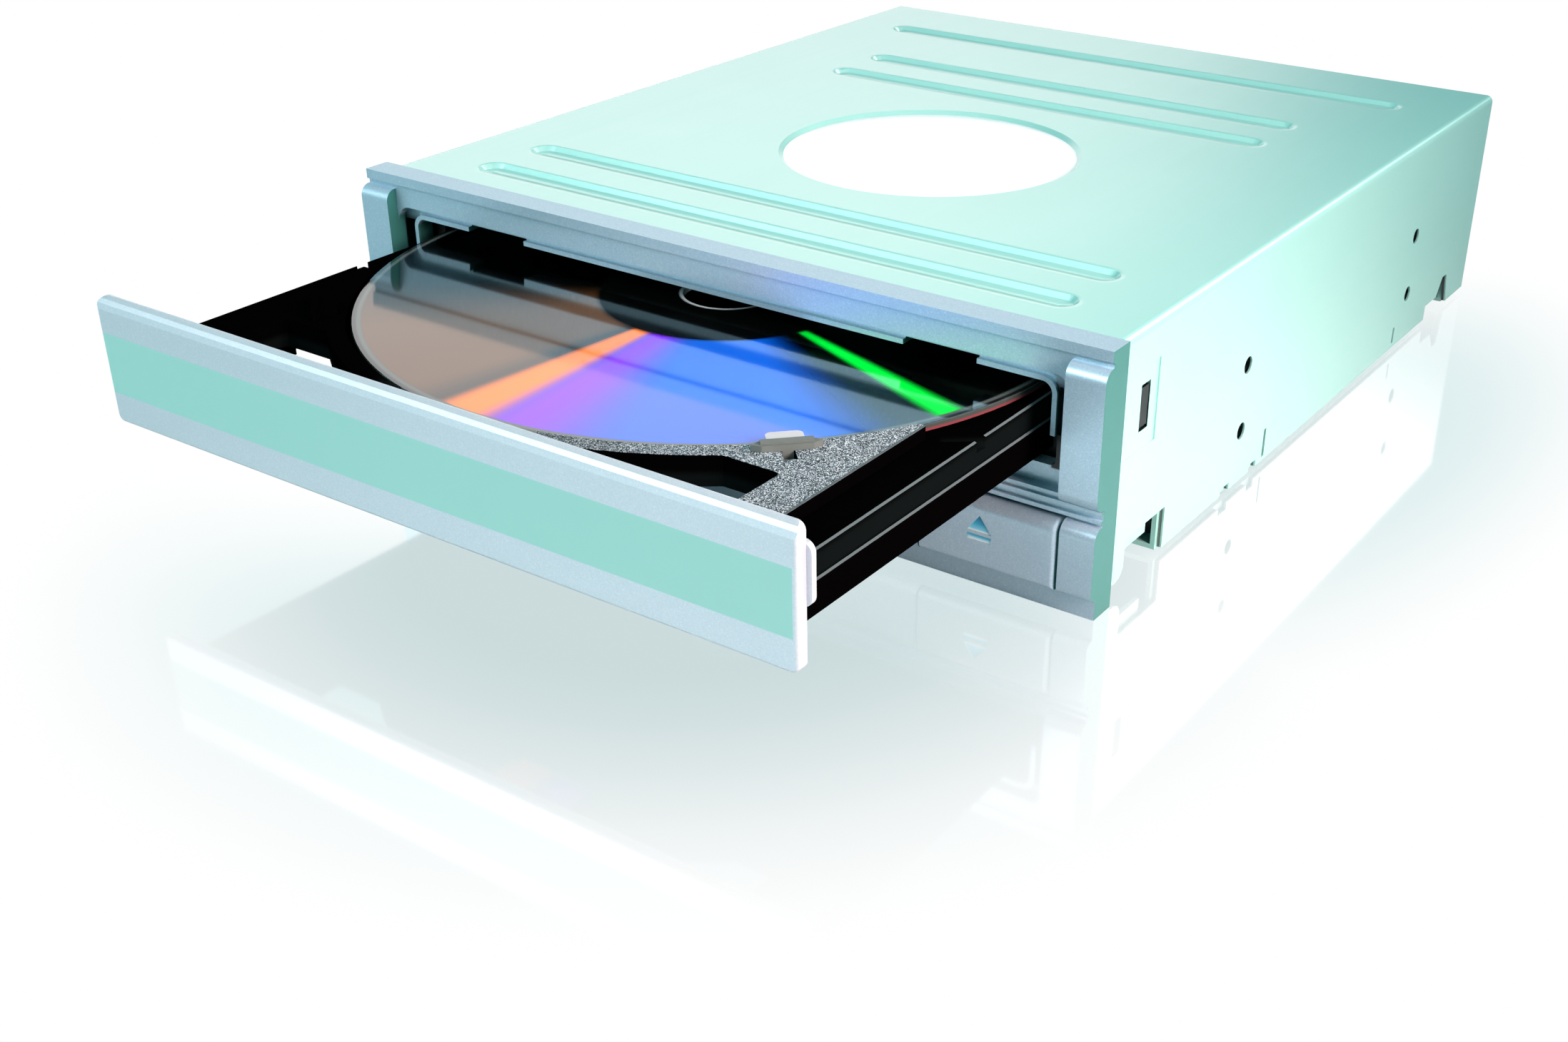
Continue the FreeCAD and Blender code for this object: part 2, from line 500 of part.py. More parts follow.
def front_bezel():
    face = body("front_bezel")
    half = "bezel_half"
    front, proud = "-bezel_thick", "-(bezel_thick + pillar_out)"
    add(face, "xz", front, "0", box(f"-{half}", half, "bezel_low", "bezel_top"))
    add(face, "xz", f"{front} - brow_out", front, box(f"-{half}", half, "brow_low", "bezel_top"),
        box(f"-{half}", half, "ridge_upper", "ridge_upper + ridge"),
        box(f"-{half}", half, "ridge_lower", "ridge_lower + ridge"))
    pillar = add(face, "xz", proud, front, box("pillar_in", half, "pillar_low", "pillar_top"))
    mirrored(face, [pillar])
    add(face, "xz", proud, front, box(f"-{half}", half, "block_low", "block_top"))
    add(face, "xz", f"{front} - 0.7", front, box(f"-{half}", half, "bezel_low", "block_low"))
    soften(face, "shoulder", dict(y=proud, z="pillar_top"), dict(y=proud, z="pillar_low"),
           dict(y=proud, z="block_top"))
    soften(face, "1.4", dict(y=proud, z="block_low"))
    cut(face, "xz", proud + " - 1", "-recess_floor",
        ring(("-pillar_in", "recess_low", "1"), ("pillar_in", "recess_low", "1"),
             ("pillar_in", "recess_top", "recess_round"), ("-pillar_in", "recess_top", "recess_round")))
    lip_half = "(mouth_half + lip)"
    add(face, "xz", "-recess_floor - lip", "-recess_floor",
        ring((f"-{lip_half}", "lip_end"), (lip_half, "lip_end"), (lip_half, "mouth_top + lip", "mouth_round + lip"),
             (f"-{lip_half}", "mouth_top + lip", "mouth_round + lip")))
    cut(face, "xz", "-bezel_thick", "1",
        ring(("-mouth_half", "lip_end - 1"), ("mouth_half", "lip_end - 1"), ("mouth_half", "mouth_top", "mouth_round"),
             ("-mouth_half", "mouth_top", "mouth_round")))
    cut(face, "xz", "-bezel_thick", "1", box(f"-{lip_half}", lip_half, "mouth_low", "lip_end", "1"))
    notch = cut(face, "xz", "-bezel_thick", "1", box("notch_in", "notch_out", "mouth_top - 2", "mouth_top + notch_up"))
    gutter = cut(face, "xz", "-bezel_thick", "-gutter_floor", box(lip_half, "pillar_in", "lip_end", "gutter_top"))
    mirrored(face, [notch, gutter])
    opening = box("button_left - button_gap", "button_right + button_gap", "button_low - button_gap",
                  "button_top + button_gap")
    cut(face, "xz", front, "1", box("1 - case_wide / 2", "case_wide / 2 - 1", "hollow_low", "hollow_top"))
    cut(face, "xz", proud + " - 1", "1", opening)
    cut(face, "xz", proud + " - 1", "1",
        box("light_x - light_wide / 2", "light_x + light_wide / 2", "light_z - light_high / 2",
            "light_z + light_high / 2"), hole("pin_hole_x", "light_z", "pin_hole"))
    near, far = "latch_low + 0.6", "latch_high - 0.6"
    arm = add(face, "xz", "-1", "latch_y + latch_long - 0.3",
              box("case_wide / 2 - 2.1", "case_wide / 2 - 1", near, far))
    hook = add(face, "xz", "latch_y + 0.3", "latch_y + latch_long - 0.3",
               box("case_wide / 2 - 1", "case_wide / 2 - press_deep - 0.1", near, far))
    mirrored(face, [arm, hook])
    return seat(face, "front_bezel")


def eject_button():
    button = body("eject_button")
    front = "-(bezel_thick + pillar_out + button_proud)"
    back = f"{front} + button_shell"
    add(button, "xz", front, "-1.2", box("button_left", "button_right", "button_low", "button_top"))
    soften(button, "shoulder", dict(y=front, z="button_top"))
    soften(button, "0.8", dict(y=front, z="button_low"), dict(y=front, x="button_right"))
    cut(button, "xz", back, "0",
        box("button_left + 1.4", "button_right - 1.4", "button_low + 1.4", "button_top - 2.2"))
    add(button, "xz", f"{back} - 0.4", "switch_face", hole("switch_x", "light_z", "plunger + 0.2"))
    left, right = "symbol_x - symbol_wide / 2", "symbol_x + symbol_wide / 2"
    foot = "symbol_z + symbol_gap"
    cut(button, "xz", front + " - 1", f"{front} + symbol_deep", box(left, right, "symbol_z - symbol_bar", "symbol_z"),
        ring((left, foot), (right, foot), ("symbol_x", f"{foot} + symbol_high")))
    return seat(button, "eject_button")


def eject_symbol():
    sign = body("eject_symbol")
    front = "-(bezel_thick + pillar_out + button_proud)"
    left, right = "symbol_x - symbol_wide / 2", "symbol_x + symbol_wide / 2"
    foot = "symbol_z + symbol_gap"
    add(sign, "xz", front + " + 0.1", f"{front} + symbol_deep", box(left, right, "symbol_z - symbol_bar", "symbol_z"),
        ring((left, foot), (right, foot), ("symbol_x", f"{foot} + symbol_high")))
    return seat(sign, "eject_symbol")


def activity_light():
    lens = body("activity_light")
    add(lens, "xz", "-(bezel_thick + pillar_out)", "-bezel_thick",
        box("light_x - light_wide / 2", "light_x + light_wide / 2", "light_z - light_high / 2",
            "light_z + light_high / 2"))
    add(lens, "xz", "-bezel_thick", "-bezel_thick + 0.8",
        box("light_x - 4", "light_x + 4", "light_z - 2", "light_z + 2"))
    add(lens, "xz", "-bezel_thick", "front_board_y - 1.6",
        box("light_x - 2.6", "light_x + 2.6", "light_z - 0.7", "light_z + 0.7"))
    return seat(lens, "activity_light")


# Tray and what rides on it, drawn from the middle of the disc

TRAY = dict(y="tray_rest")
CLIP_TURNS = {"front_right": -45.0, "front_left": -135.0, "rear_right": 45.0, "rear_left": 135.0}


def tooth_outline(pitch_x, mid_y, module, way, thin):
    """A straight-flanked tooth pointing along x, thinned for backlash, from its pitch line."""
    half, lean = f"({module} * {math.pi / 4} - {thin})", 0.364
    rise, drop = f"0.8 * {module}", f"1.15 * {module}"
    tip_x, root_x = f"{pitch_x} + {way} * {rise}", f"{pitch_x} - {way} * ({drop})"
    tip, foot = f"({half} - {lean} * {rise})", f"({half} + {lean} * {drop})"
    return ring((root_x, f"{mid_y} - {foot}"), (tip_x, f"{mid_y} - {tip}"),
                (tip_x, f"{mid_y} + {tip}"), (root_x, f"{mid_y} + {foot}"))


def tray():
    deck = body("tray")
    front, rear, sill = "-tray_front", "tray_rear", "-window_rear"
    add(deck, "xy", "deck_under", "deck_top", box("-deck_half", "deck_half", sill, rear))
    add(deck, "xy", "deck_under", "deck_top", box("-deck_half", "deck_half", front, f"{front} + front_wall"))
    arm = add(deck, "xy", "deck_under", "deck_top", box("window_out", "deck_half", front, sill))
    add(deck, "xy", "deck_under", "deck_top", box("-window_in", "window_in", front, sill))
    add(deck, "xy", "deck_under", "deck_top", cap(sill, "rim"))
    rail = add(deck, "xy", "rail_low - 0.5", "rail_top", box("deck_half - 1", "rail_side", front, rear))
    skirt = add(deck, "xy", "skirt_low", "rail_low", box("rail_half - skirt_thick", "rail_half", front, f"{rear} - 6"))
    mirrored(deck, [arm, rail, skirt])
    corners = [dict(x=f"{side}window_out", y=y) for side in ("", "-") for y in (sill, f"{front} + front_wall")]
    soften(deck, "window_round", *corners)
    ledges = [dict(x=f"{side}{x}", z=z) for side in ("", "-")
              for x, z in (("rail_side", "rail_top"), ("rail_half", "rail_low"))]
    soften(deck, "edge_bevel", *ledges, kind="Chamfer")
    step = cut(deck, "xy", "rail_top", "deck_top + 1", box("deck_half - 6", "deck_half + 1", "-shoulder_end", "0"))
    notch = cut(deck, "xy", "rail_top - notch_deep", "rail_top + 1",
                ring(("rail_half + 1", "-20.6"), ("deck_half + 1", "-25.6"), ("deck_half + 2.2", "-27"),
                     ("rail_half + 1", "-23")))
    mirrored(deck, [step, notch])
    cut(deck, "xy", "well_floor", "deck_top + 1", hole("0", "0", "well"))
    cut(deck, "xy", "small_floor", "well_floor + 1", hole("0", "0", "small_well"))
    cut(deck, "xy", "deck_under - 1", "deck_top + 1", hole("0", "0", "hub_hole"))
    cut(deck, "xy", "deck_under - 1", "deck_top + 1", box("-slot_half", "slot_half", "2", "slot_end", "3"))
    cut(deck, "xy", "deck_under - 1", "deck_top + 1",
        box("-finger_half", "finger_half", f"{front} + front_wall", "-finger_in", "2.5"))
    reach = "(clip_stem / 2 + clip_play)"
    for spin in CLIP_TURNS.values():
        cut(deck, "xy", "deck_under - 1", "deck_top + 1",
            box(f"clip_out - {reach}", f"clip_out + clip_slide + {reach}", f"-{reach}", f"{reach}"), spin=spin)
    pitch_x = "gear_x - 8 * tooth"
    root = f"{pitch_x} - 1.1 * tooth"
    meet = "gear_y - tray_rest"
    add(deck, "xy", "rack_low", "deck_under + 0.5",
        box(f"{root} - rack_thick", root, f"{meet} - travel_in - 8", rear))
    doc.recompute()
    span = f"tooth * {math.pi}"
    first = f"({meet} - 20.5 * {span})"
    tooth = add(deck, "xy", "rack_low", "deck_under + 0.3", tooth_outline(pitch_x, first, "tooth", 1, 0.15))
    along(deck, tooth, "Y_Axis", f"45 * {span}", 46)
    return seat(deck, "tray", **TRAY)


def tray_front():
    panel = body("tray_front_panel")
    back = "-tray_front"
    front = f"{back} - panel_thick"
    add(panel, "xz", front, f"{back} - lap_thick",
        box("-panel_half", "panel_half", "panel_low", "panel_top", "1.2"))
    soften(panel, "0.5", dict(y=front, z="panel_low"), dict(y=front, x="panel_half"), dict(y=front, x="-panel_half"))
    cut(panel, "yz", "-panel_half - 1", "panel_half + 1",
        ring((f"{front} - 1", "panel_top + 1"), (f"{front} - 1", "panel_top - panel_slope"),
             (front, "panel_top - panel_slope"), (f"{front} + 0.3", "panel_top - panel_slope * 0.5"),
             (f"{front} + 0.85", "panel_top - panel_slope * 0.2"), (f"{back} - lap_thick - 0.2", "panel_top"),
             (f"{back} - lap_thick - 0.2", "panel_top + 1")))
    add(panel, "xz", f"{back} - lap_thick", back,
        box("-(panel_half + panel_lap)", "panel_half + panel_lap", "lap_low", "lap_top", "1.5"))
    return seat(panel, "tray_front_panel", **TRAY)


def disc():
    plate = body("disc")
    low = "well_floor + disc_gap"
    high = f"{low} + disc_thick"
    turn(plate, ("disc_bore", low), ("disc", low), ("disc", high), ("disc_bore", high))
    soften(plate, "0.15", dict(z=low), dict(z=high), kind="Chamfer")
    return seat(plate, "disc", **TRAY)


def disc_clips():
    """Four clips in slots round the disc; the front left one stands drawn back, as in the photo."""
    for place, spin in CLIP_TURNS.items():
        clip = body("disc_clip_" + place)
        low = "deck_top + 0.05"
        half, end = "clip_wide / 2", "clip_long / 2"
        add(clip, "xy", low, f"{low} + clip_high",
            ring((f"-({half})", f"-({end}) + 1.4"), ("0", f"-({end})"), (half, f"-({end}) + 1.4"),
                 (half, f"{end} - 1.4"), ("0", end), (f"-({half})", f"{end} - 1.4")))
        add(clip, "xy", f"{low} + clip_high - 0.1", f"{low} + clip_high + 0.4",
            box(f"-({half}) + 0.4", f"{half} - 0.4", f"-({end}) + 1.3", f"{end} - 1.3"))
        add(clip, "xy", low, f"{low} + clip_high",
            ring((f"-({half} + clip_reach)", "-clip_tab / 2", "0.9"), ("0.2", "-clip_tab / 2"),
                 ("0.2", "clip_tab / 2"), (f"-({half} + clip_reach)", "clip_tab / 2", "0.9")))
        add(clip, "xy", "deck_under + 0.3", f"{low} + 0.2",
            box("-clip_stem / 2", "clip_stem / 2", "-clip_stem / 2", "clip_stem / 2"))
        out = "(clip_out + clip_slide)" if place == "front_left" else "clip_out"
        x = f"{out} * ({math.cos(math.radians(spin)):.9f})"
        y = f"tray_rest + {out} * ({math.sin(math.radians(spin)):.9f})"
        seat(clip, "disc_clip_" + place, x, y, turn=spin)


# Loader frame and tray drive

def loader_frame():
    frame = body("loader_frame")
    top = "skirt_low - slide_gap"
    wall = add(frame, "yz", "frame_in", "frame_in + frame_wall",
               ring(("frame_front", "sheet"), ("frame_rear", "sheet"), ("frame_rear", "frame_top"),
                    ("spindle_y + bridge_half + 4", "frame_top"), ("spindle_y + bridge_half + 4", "bridge_low"),
                    ("spindle_y - bridge_half - 4", "bridge_low"), ("spindle_y - bridge_half - 4", "frame_top"),
                    ("frame_front", "frame_top")))
    ledge = add(frame, "xy", f"{top} - ledge_thick", top,
                box("ledge_in", "frame_in + 0.5", "frame_front", "frame_rear"))
    guides = [add(frame, "xy", "rail_top + slide_gap", "rail_top + slide_gap + guide_thick",
                  box("guide_in", "frame_in + 0.5", y, f"{y} + 9")) for y in ("5", "74", "128")]
    feet = [add(frame, "xy", "sheet", "sheet + foot_high",
                box("frame_in + 0.5", "case_wide / 2 - 2.4", y, f"{y} + {run}"))
            for y, run in (("22", "14"), ("62", "50"), ("138", "16"))]
    brackets = [add(frame, "xy", "bracket_low", "bracket_top",
                    box("lug_x - lug_long", "frame_in + 0.5", f"{y} - lug_long", f"{y} + lug_long"))
                for y in ("lug_front", "lug_rear")]
    mirrored(frame, [wall, ledge, *guides, *feet, *brackets])
    add(frame, "xy", "beam_top - beam_thick", "beam_top",
        box("-frame_in - 0.5", "frame_in + 0.5", "beam_front", "beam_rear"))
    add(frame, "xz", "beam_front", "beam_front + 1.5", box("-frame_in - 0.5", "frame_in + 0.5", "3", "beam_top - 0.5"))
    add(frame, "xy", "17", "19.2", box("-frame_in - 0.5", "frame_in + 0.5", "152", "frame_rear"))
    for y in ("post_front", "post_rear"):
        post = add(frame, "xy", "sheet", "6", hole("post_x", y, "3"))
        web = add(frame, "xy", "4.6", "6", box("post_x - 3", "frame_in + 0.6", f"{y} - 3", f"{y} + 3"))
        mirrored(frame, [post, web])
    add(frame, "xy", "beam_top - 1", "gear_top - 0.3", hole("gear_x", "gear_y", "post"))
    add(frame, "xy", "beam_top - 1", "gear_step + 0.6", hole("gear_x + fine_tooth * 26.5", "gear_y", "post"))
    add(frame, "xy", "beam_top - 1", "gear_low - run_gap", hole("gear_x", "gear_y", "post + 1"))
    pegs = add(frame, "xy", "bridge_low - 1", "bridge_low + 1.6",
               *(hole("frame_in + frame_wall / 2", f"spindle_y + {way} * 5", "0.8") for way in (-1, 1)))
    mirrored(frame, [pegs])
    cut(frame, "xy", "beam_top - beam_thick - 1", "beam_top + 1", hole("motor_x", "motor_y", "3"))
    cut(frame, "xy", "0", "7", *(hole(x, y, "1.45") for x, y in POSTS))
    cut(frame, "xy", "bracket_low - 1", "bracket_top + 1",
        *(hole(x, y, "1.25") for x in ("-lug_x", "lug_x") for y in ("lug_front", "lug_rear")))
    cut(frame, "xz", "0", "8", box("switch_x - 4", "switch_x + 4", "light_z - 4", "light_z + 4"))
    return seat(frame, "loader_frame")


def loading_motor():
    top = "beam_top - beam_thick"
    can = rod("motor_x", "motor_y", f"{top} - motor_high", "motor", "motor_high")
    neck = rod("motor_x", "motor_y", f"{top} - 0.2", "2.8", "1.6")
    spindle = rod("motor_x", "motor_y", top, "0.8", "6")
    tail = rod("motor_x", "motor_y", f"{top} - motor_high - 1", "3", "1.2")
    return seat(fused(can, neck, spindle, tail), "loading_motor")


def grooved(radius, low):
    """The rim of a pulley with a square groove that the round belt lies in."""
    middle = f"({low} + pulley_thick / 2)"
    edge, floor = f"{radius} + 0.8", f"{radius} - belt / 2 - belt_gap"
    under, over = f"{middle} - belt / 2 - belt_gap", f"{middle} + belt / 2 + belt_gap"
    return (edge, low), (edge, under), (floor, under), (floor, over), (edge, over), (edge, f"{low} + pulley_thick")


def motor_pulley():
    wheel = body("motor_pulley")
    low = "beam_top + 0.4"
    high = f"{low} + pulley_thick"
    turn(wheel, ("0.8 + run_gap", low), *grooved("motor_pulley", low), ("0.8 + run_gap", high))
    return seat(wheel, "motor_pulley", "motor_x", "motor_y")


def pulley_gear():
    wheel = body("pulley_gear")
    low = "beam_top + 0.4"
    high = f"{low} + pulley_thick"
    bore = "post + run_gap"
    root = "fine_tooth * 13 / 2 - 1.15 * fine_tooth"
    neck = f"{root} + 0.1"
    turn(wheel, (bore, low), *grooved("pulley", low), (neck, high), (neck, "gear_step"), (bore, "gear_step"))
    tooth = add(wheel, "xy", "gear_low", "gear_step",
                tooth_outline("-fine_tooth * 6.5", "0", "fine_tooth", -1, 0.1))
    around(wheel, tooth, 13)
    return seat(wheel, "pulley_gear", "gear_x + fine_tooth * 26.5", "gear_y")


def drive_gear():
    wheel = body("tray_drive_gear")
    bore = "post + run_gap"
    wide, narrow = "fine_tooth * 20 - 1.05 * fine_tooth", "tooth * 6.95"
    turn(wheel, (bore, "gear_low"), (wide, "gear_low"), (wide, "gear_step"), (narrow, "gear_step"),
         (narrow, "gear_top"), (bore, "gear_top"))
    coarse = add(wheel, "xy", "gear_step - 0.2", "gear_top", tooth_outline("-tooth * 8", "0", "tooth", -1, 0.15))
    around(wheel, coarse, 16)
    fine = add(wheel, "xy", "gear_low", "gear_step",
               tooth_outline("fine_tooth * 20", "0", "fine_tooth", 1, 0.1), spin=4.5)
    around(wheel, fine, 40)
    return seat(wheel, "tray_drive_gear", "gear_x", "gear_y")


def drive_belt():
    """A round belt swept along its path through the two pulley grooves."""
    x0, y0 = number("gear_x + fine_tooth * 26.5"), number("gear_y")
    x1, y1 = number("motor_x"), number("motor_y")
    r0, r1 = number("pulley"), number("motor_pulley")
    gap, heading = math.hypot(x1 - x0, y1 - y0), math.atan2(y1 - y0, x1 - x0)
    lean = math.acos((r0 - r1) / gap)
    level = number("beam_top + 0.4 + pulley_thick / 2")

    def rim(x, y, radius, angle):
        return FreeCAD.Vector(x + radius * math.cos(heading + angle), y + radius * math.sin(heading + angle), level)

    big = [rim(x0, y0, r0, a) for a in (lean, math.pi, 2 * math.pi - lean)]
    small = [rim(x1, y1, r1, a) for a in (-lean, 0, lean)]
    path = Part.Wire([Part.Arc(*big).toShape(), Part.LineSegment(big[2], small[0]).toShape(),
                      Part.Arc(*small).toShape(), Part.LineSegment(small[2], big[0]).toShape()])
    tangent = path.Edges[0].tangentAt(path.Edges[0].FirstParameter)
    section = Part.Wire([Part.Circle(big[0], tangent, number("belt / 2")).toShape()])
    made = doc.addObject("Part::Feature", "drive_belt")
    made.Shape = path.makePipeShell([section], True, False)
    return seat(made, "drive_belt")


# Clamp above the disc

def clamp_bridge():
    bridge = body("clamp_bridge")
    reach = "frame_in + frame_wall"
    add(bridge, "xy", "bridge_low", "bridge_low + sheet",
        box(f"-({reach})", reach, "spindle_y - bridge_half", "spindle_y + bridge_half"))
    add(bridge, "xy", "bridge_low", "bridge_low + sheet", hole("0", "spindle_y", "bridge_ring"))
    for way in (-1, 1):
        ends = sorted((f"spindle_y + {way} * bridge_half", f"spindle_y + {way} * (bridge_half - sheet)"), key=number)
        flange = add(bridge, "xy", "bridge_low", "bridge_low + 2.4", box("bridge_ring", f"{reach} - 4", *ends))
        mirrored(bridge, [flange])
    cut(bridge, "xy", "bridge_low - 1", "bridge_low + 3", hole("0", "spindle_y", "bridge_hole"),
        *(hole(f"{side} * (frame_in + frame_wall / 2)", f"spindle_y + {way} * 5", "0.85")
          for side in (-1, 1) for way in (-1, 1)))
    return seat(bridge, "clamp_bridge")


def clamp_puck():
    puck = body("clamp_puck")
    rest = "bridge_low + sheet + 0.06"
    turn(puck, ("0", "puck_low + 2.2"), ("disc_bore + 0.6", "puck_low + 2.2"), ("disc_bore + 0.6", "puck_low"),
         ("puck", "puck_low"), ("puck", rest), ("puck_flange", rest), ("puck_flange", f"{rest} + 1"),
         ("magnet + 1.2", f"{rest} + 1"), ("magnet + 1.2", f"{rest} + 2.2"), ("magnet + 0.1", f"{rest} + 2.2"),
         ("magnet + 0.1", f"{rest} + 0.4"), ("0", f"{rest} + 0.4"))
    seat(puck, "clamp_puck", "0", "spindle_y")
    magnet = body("clamp_magnet")
    low, high = f"{rest} + 0.4", f"{rest} + 1.6"
    turn(magnet, ("3", low), ("magnet", low), ("magnet", high), ("3", high))
    seat(magnet, "clamp_magnet", "0", "spindle_y")
    plate = body("clamp_yoke")
    turn(plate, ("0", high), ("magnet", high), ("magnet", f"{high} + 0.6"), ("0", f"{high} + 0.6"))
    seat(plate, "clamp_yoke", "0", "spindle_y")


# Traverse with spindle motor and pickup

def traverse_chassis():
    mech = body("traverse_chassis")
    top = "mech_low + mech_plate"
    add(mech, "xy", "mech_low", top, box("-mech_half", "mech_half", "mech_front", "mech_rear", "4"))
    add(mech, "xy", "mech_low", "mech_wall", box("-mech_half", "mech_half", "mech_front", "mech_rear", "4"))
    cut(mech, "xy", top, "mech_wall + 1",
        box("-mech_half + 2", "mech_half - 2", "mech_front + 2", "mech_rear - 4", "3"))
    bay = ("-rod_x - 4", "screw_x + 5")
    cut(mech, "xy", "mech_low - 1", top + " + 1", box(*bay, "rod_front + 4", "mech_rear - 4", "2"))
    add(mech, "xy", "mech_low", "mech_wall", box(*bay, "rod_front - 4", "rod_front"))
    lugs = [add(mech, "xy", "mech_low + 1.4", "mech_low + 3.4",
                box("mech_half - 1", "lug_x + lug_long", f"{y} - lug_long", f"{y} + lug_long", "1"))
            for y in ("lug_front", "lug_rear")]
    mirrored(mech, lugs)
    cut(mech, "xy", "mech_low", "mech_low + 5",
        *(hole(x, y, "damper - 1.2") for x in ("-lug_x", "lug_x") for y in ("lug_front", "lug_rear")))
    for x, bore in (("-rod_x", "rod"), ("rod_x", "rod"), ("screw_x", "screw + run_gap")):
        cut(mech, "xz", "rod_front - 3", "mech_rear + 1", hole(x, "rod_z", bore))
    cut(mech, "xy", "mech_low - 1", top + " + 1", hole("0", "spindle_y", "8"))
    return seat(mech, "traverse_chassis")


def dampers():
    rubbers, screws = [], []
    for x in ("-lug_x", "lug_x"):
        for y in ("lug_front", "lug_rear"):
            low, neck = "damper_low", "(mech_low + 1.4)"
            lower = rod(x, y, low, "damper", f"{neck} - {low}")
            middle = rod(x, y, f"{neck} - 0.1", "damper - 1.2", "2.2")
            upper = rod(x, y, f"{neck} + 2", "damper", f"{low} + damper_high - {neck} - 2")
            rubbers.append(less(fused(lower, middle, upper), rod(x, y, f"{low} - 1", "1.25", "damper_high + 2")))
            head = rod(x, y, f"{low} + damper_high", "3.2", "1.2")
            shank = rod(x, y, "bracket_low - 0.5", "1.2", f"{low} + damper_high - bracket_low + 0.6")
            screws.append(fused(head, shank))
    seat(group(*rubbers), "rubber_dampers")
    seat(group(*screws), "damper_screws")


def spindle():
    deck = "mech_low + mech_plate"
    base = fused(block("-20", "20", "spindle_y - 18", "spindle_y + 12", deck, deck + " + 1"),
                 rod("0", "spindle_y", deck, "3.4", "6.6"),
                 rod("0", "spindle_y", deck, "rotor - 1.6", "4.6"))
    seat(less(base, rod("0", "spindle_y", "mech_low", "shaft + run_gap", "12")), "spindle_motor_base")
    rotor = body("spindle_rotor")
    turn(rotor, ("0", deck + " + 0.6"), ("shaft", deck + " + 0.6"), ("shaft", "rotor_top - 1"),
         ("rotor - 1", "rotor_top - 1"), ("rotor - 1", "rotor_low"), ("rotor", "rotor_low"), ("rotor", "rotor_top"),
         ("6", "rotor_top"), ("6", "table_low"), ("0", "table_low"))
    seat(rotor, "spindle_rotor", "0", "spindle_y")
    table = body("turntable")
    rise = "table_top"
    turn(table, ("0", "table_low"), ("table", "table_low"), ("table", rise), ("table - 0.8", rise),
         ("table - 0.8", f"{rise} - 0.6"), ("table - 4.4", f"{rise} - 0.6"), ("table - 4.4", rise),
         ("disc_bore - 0.2", rise), ("disc_bore - 1.8", f"{rise} + cone_high"), ("0", f"{rise} + cone_high"))
    seat(table, "turntable", "0", "spindle_y")
    pad = body("turntable_pad")
    turn(pad, ("table - 4.4", f"{rise} - 0.6"), ("table - 0.8", f"{rise} - 0.6"), ("table - 0.8", f"{rise} + 0.2"),
         ("table - 4.4", f"{rise} + 0.2"))
    seat(pad, "turntable_pad", "0", "spindle_y")


def pickup():
    for name, x in (("main_guide_rod", "rod_x"), ("sub_guide_rod", "-rod_x")):
        seat(rod(x, "rod_front - 3", "rod_z", "rod", "mech_rear - rod_front + 3", **LYING), name)
    sled = body("pickup_sled")
    add(sled, "xy", "sled_low", "sled_top",
        ring(("7 - rod_x", "-sled_half", "3"), ("rod_x - 7", "-sled_half", "3"),
             ("rod_x - 7", "sled_half", "5"), ("7 - rod_x", "sled_half", "5")))
    add(sled, "xy", "sled_low", "rod_z + rod + 1.6", box("-rod_x - 3", "rod_x + 3.4", "-7", "7"))
    add(sled, "xy", "sled_top - 0.2", "sled_top + 0.9", hole("0", "-lens_ahead", "5.6"))
    cut(sled, "xy", "sled_top - 1", "sled_top + 2", hole("0", "-lens_ahead", "lens + 1.6"))
    for x in ("-rod_x", "rod_x"):
        cut(sled, "xz", "-8", "8", hole(x, "rod_z", "rod + run_gap"))
    seat(sled, "pickup_sled", y="sled_y")
    lens = body("objective_lens")
    turn(lens, ("0", "sled_top - 1"), ("lens + 1.2", "sled_top - 1"), ("lens + 1.2", "sled_top + 0.6"),
         ("lens", "sled_top + 0.6"), ("lens * 0.7", "sled_top + 1.2"), ("0", "sled_top + 1.4"))
    seat(lens, "objective_lens", "0", "sled_y - lens_ahead")
    nut = body("sled_nut")
    add(nut, "xz", "-4", "4", box("rod_x + 3.4", "screw_x + 3", "sled_low", "rod_z + 3.2"))
    cut(nut, "xz", "-5", "5", hole("screw_x", "rod_z", "screw + run_gap"))
    seat(nut, "sled_nut", y="sled_y")
    seat(rod("screw_x", "rod_front - 3", "rod_z", "screw", "mech_rear - rod_front + 5", **LYING), "lead_screw")
    can = rod("screw_x", "mech_rear", "rod_z", "5.4", "9", **LYING)
    seat(less(can, rod("screw_x", "mech_rear - 1", "rod_z", "screw + run_gap", "4", **LYING)), "sled_motor")


# Electronics

def main_board():
    board = body("main_board")
    high = "board_low + board_thick"
    add(board, "xy", "board_low", high, box("-board_half", "board_half", "board_front", "board_rear"))
    cut(board, "xy", "board_low - 1", high + " + 1",
        *(hole(x, "post_rear", "4") for x in ("-post_x", "post_x")))
    seat(board, "main_board")
    spots = [("-14", "96", "22", "22"), ("16", "100", "14", "8"), ("-40", "92", "12", "12"), ("20", "122", "10", "10")]
    chips = [block(x, f"{x} + {wide}", y, f"{y} + {long}", high, f"{high} + 1.4") for x, y, wide, long in spots]
    seat(group(*chips), "board_chips")
    cans = [rod(x, y, high, "2.4", "4.6")
            for x, y in (("-50", "146"), ("-42", "146"), ("48", "146"), ("board_half - 4", "120"))]
    seat(group(*cans), "board_capacitors")


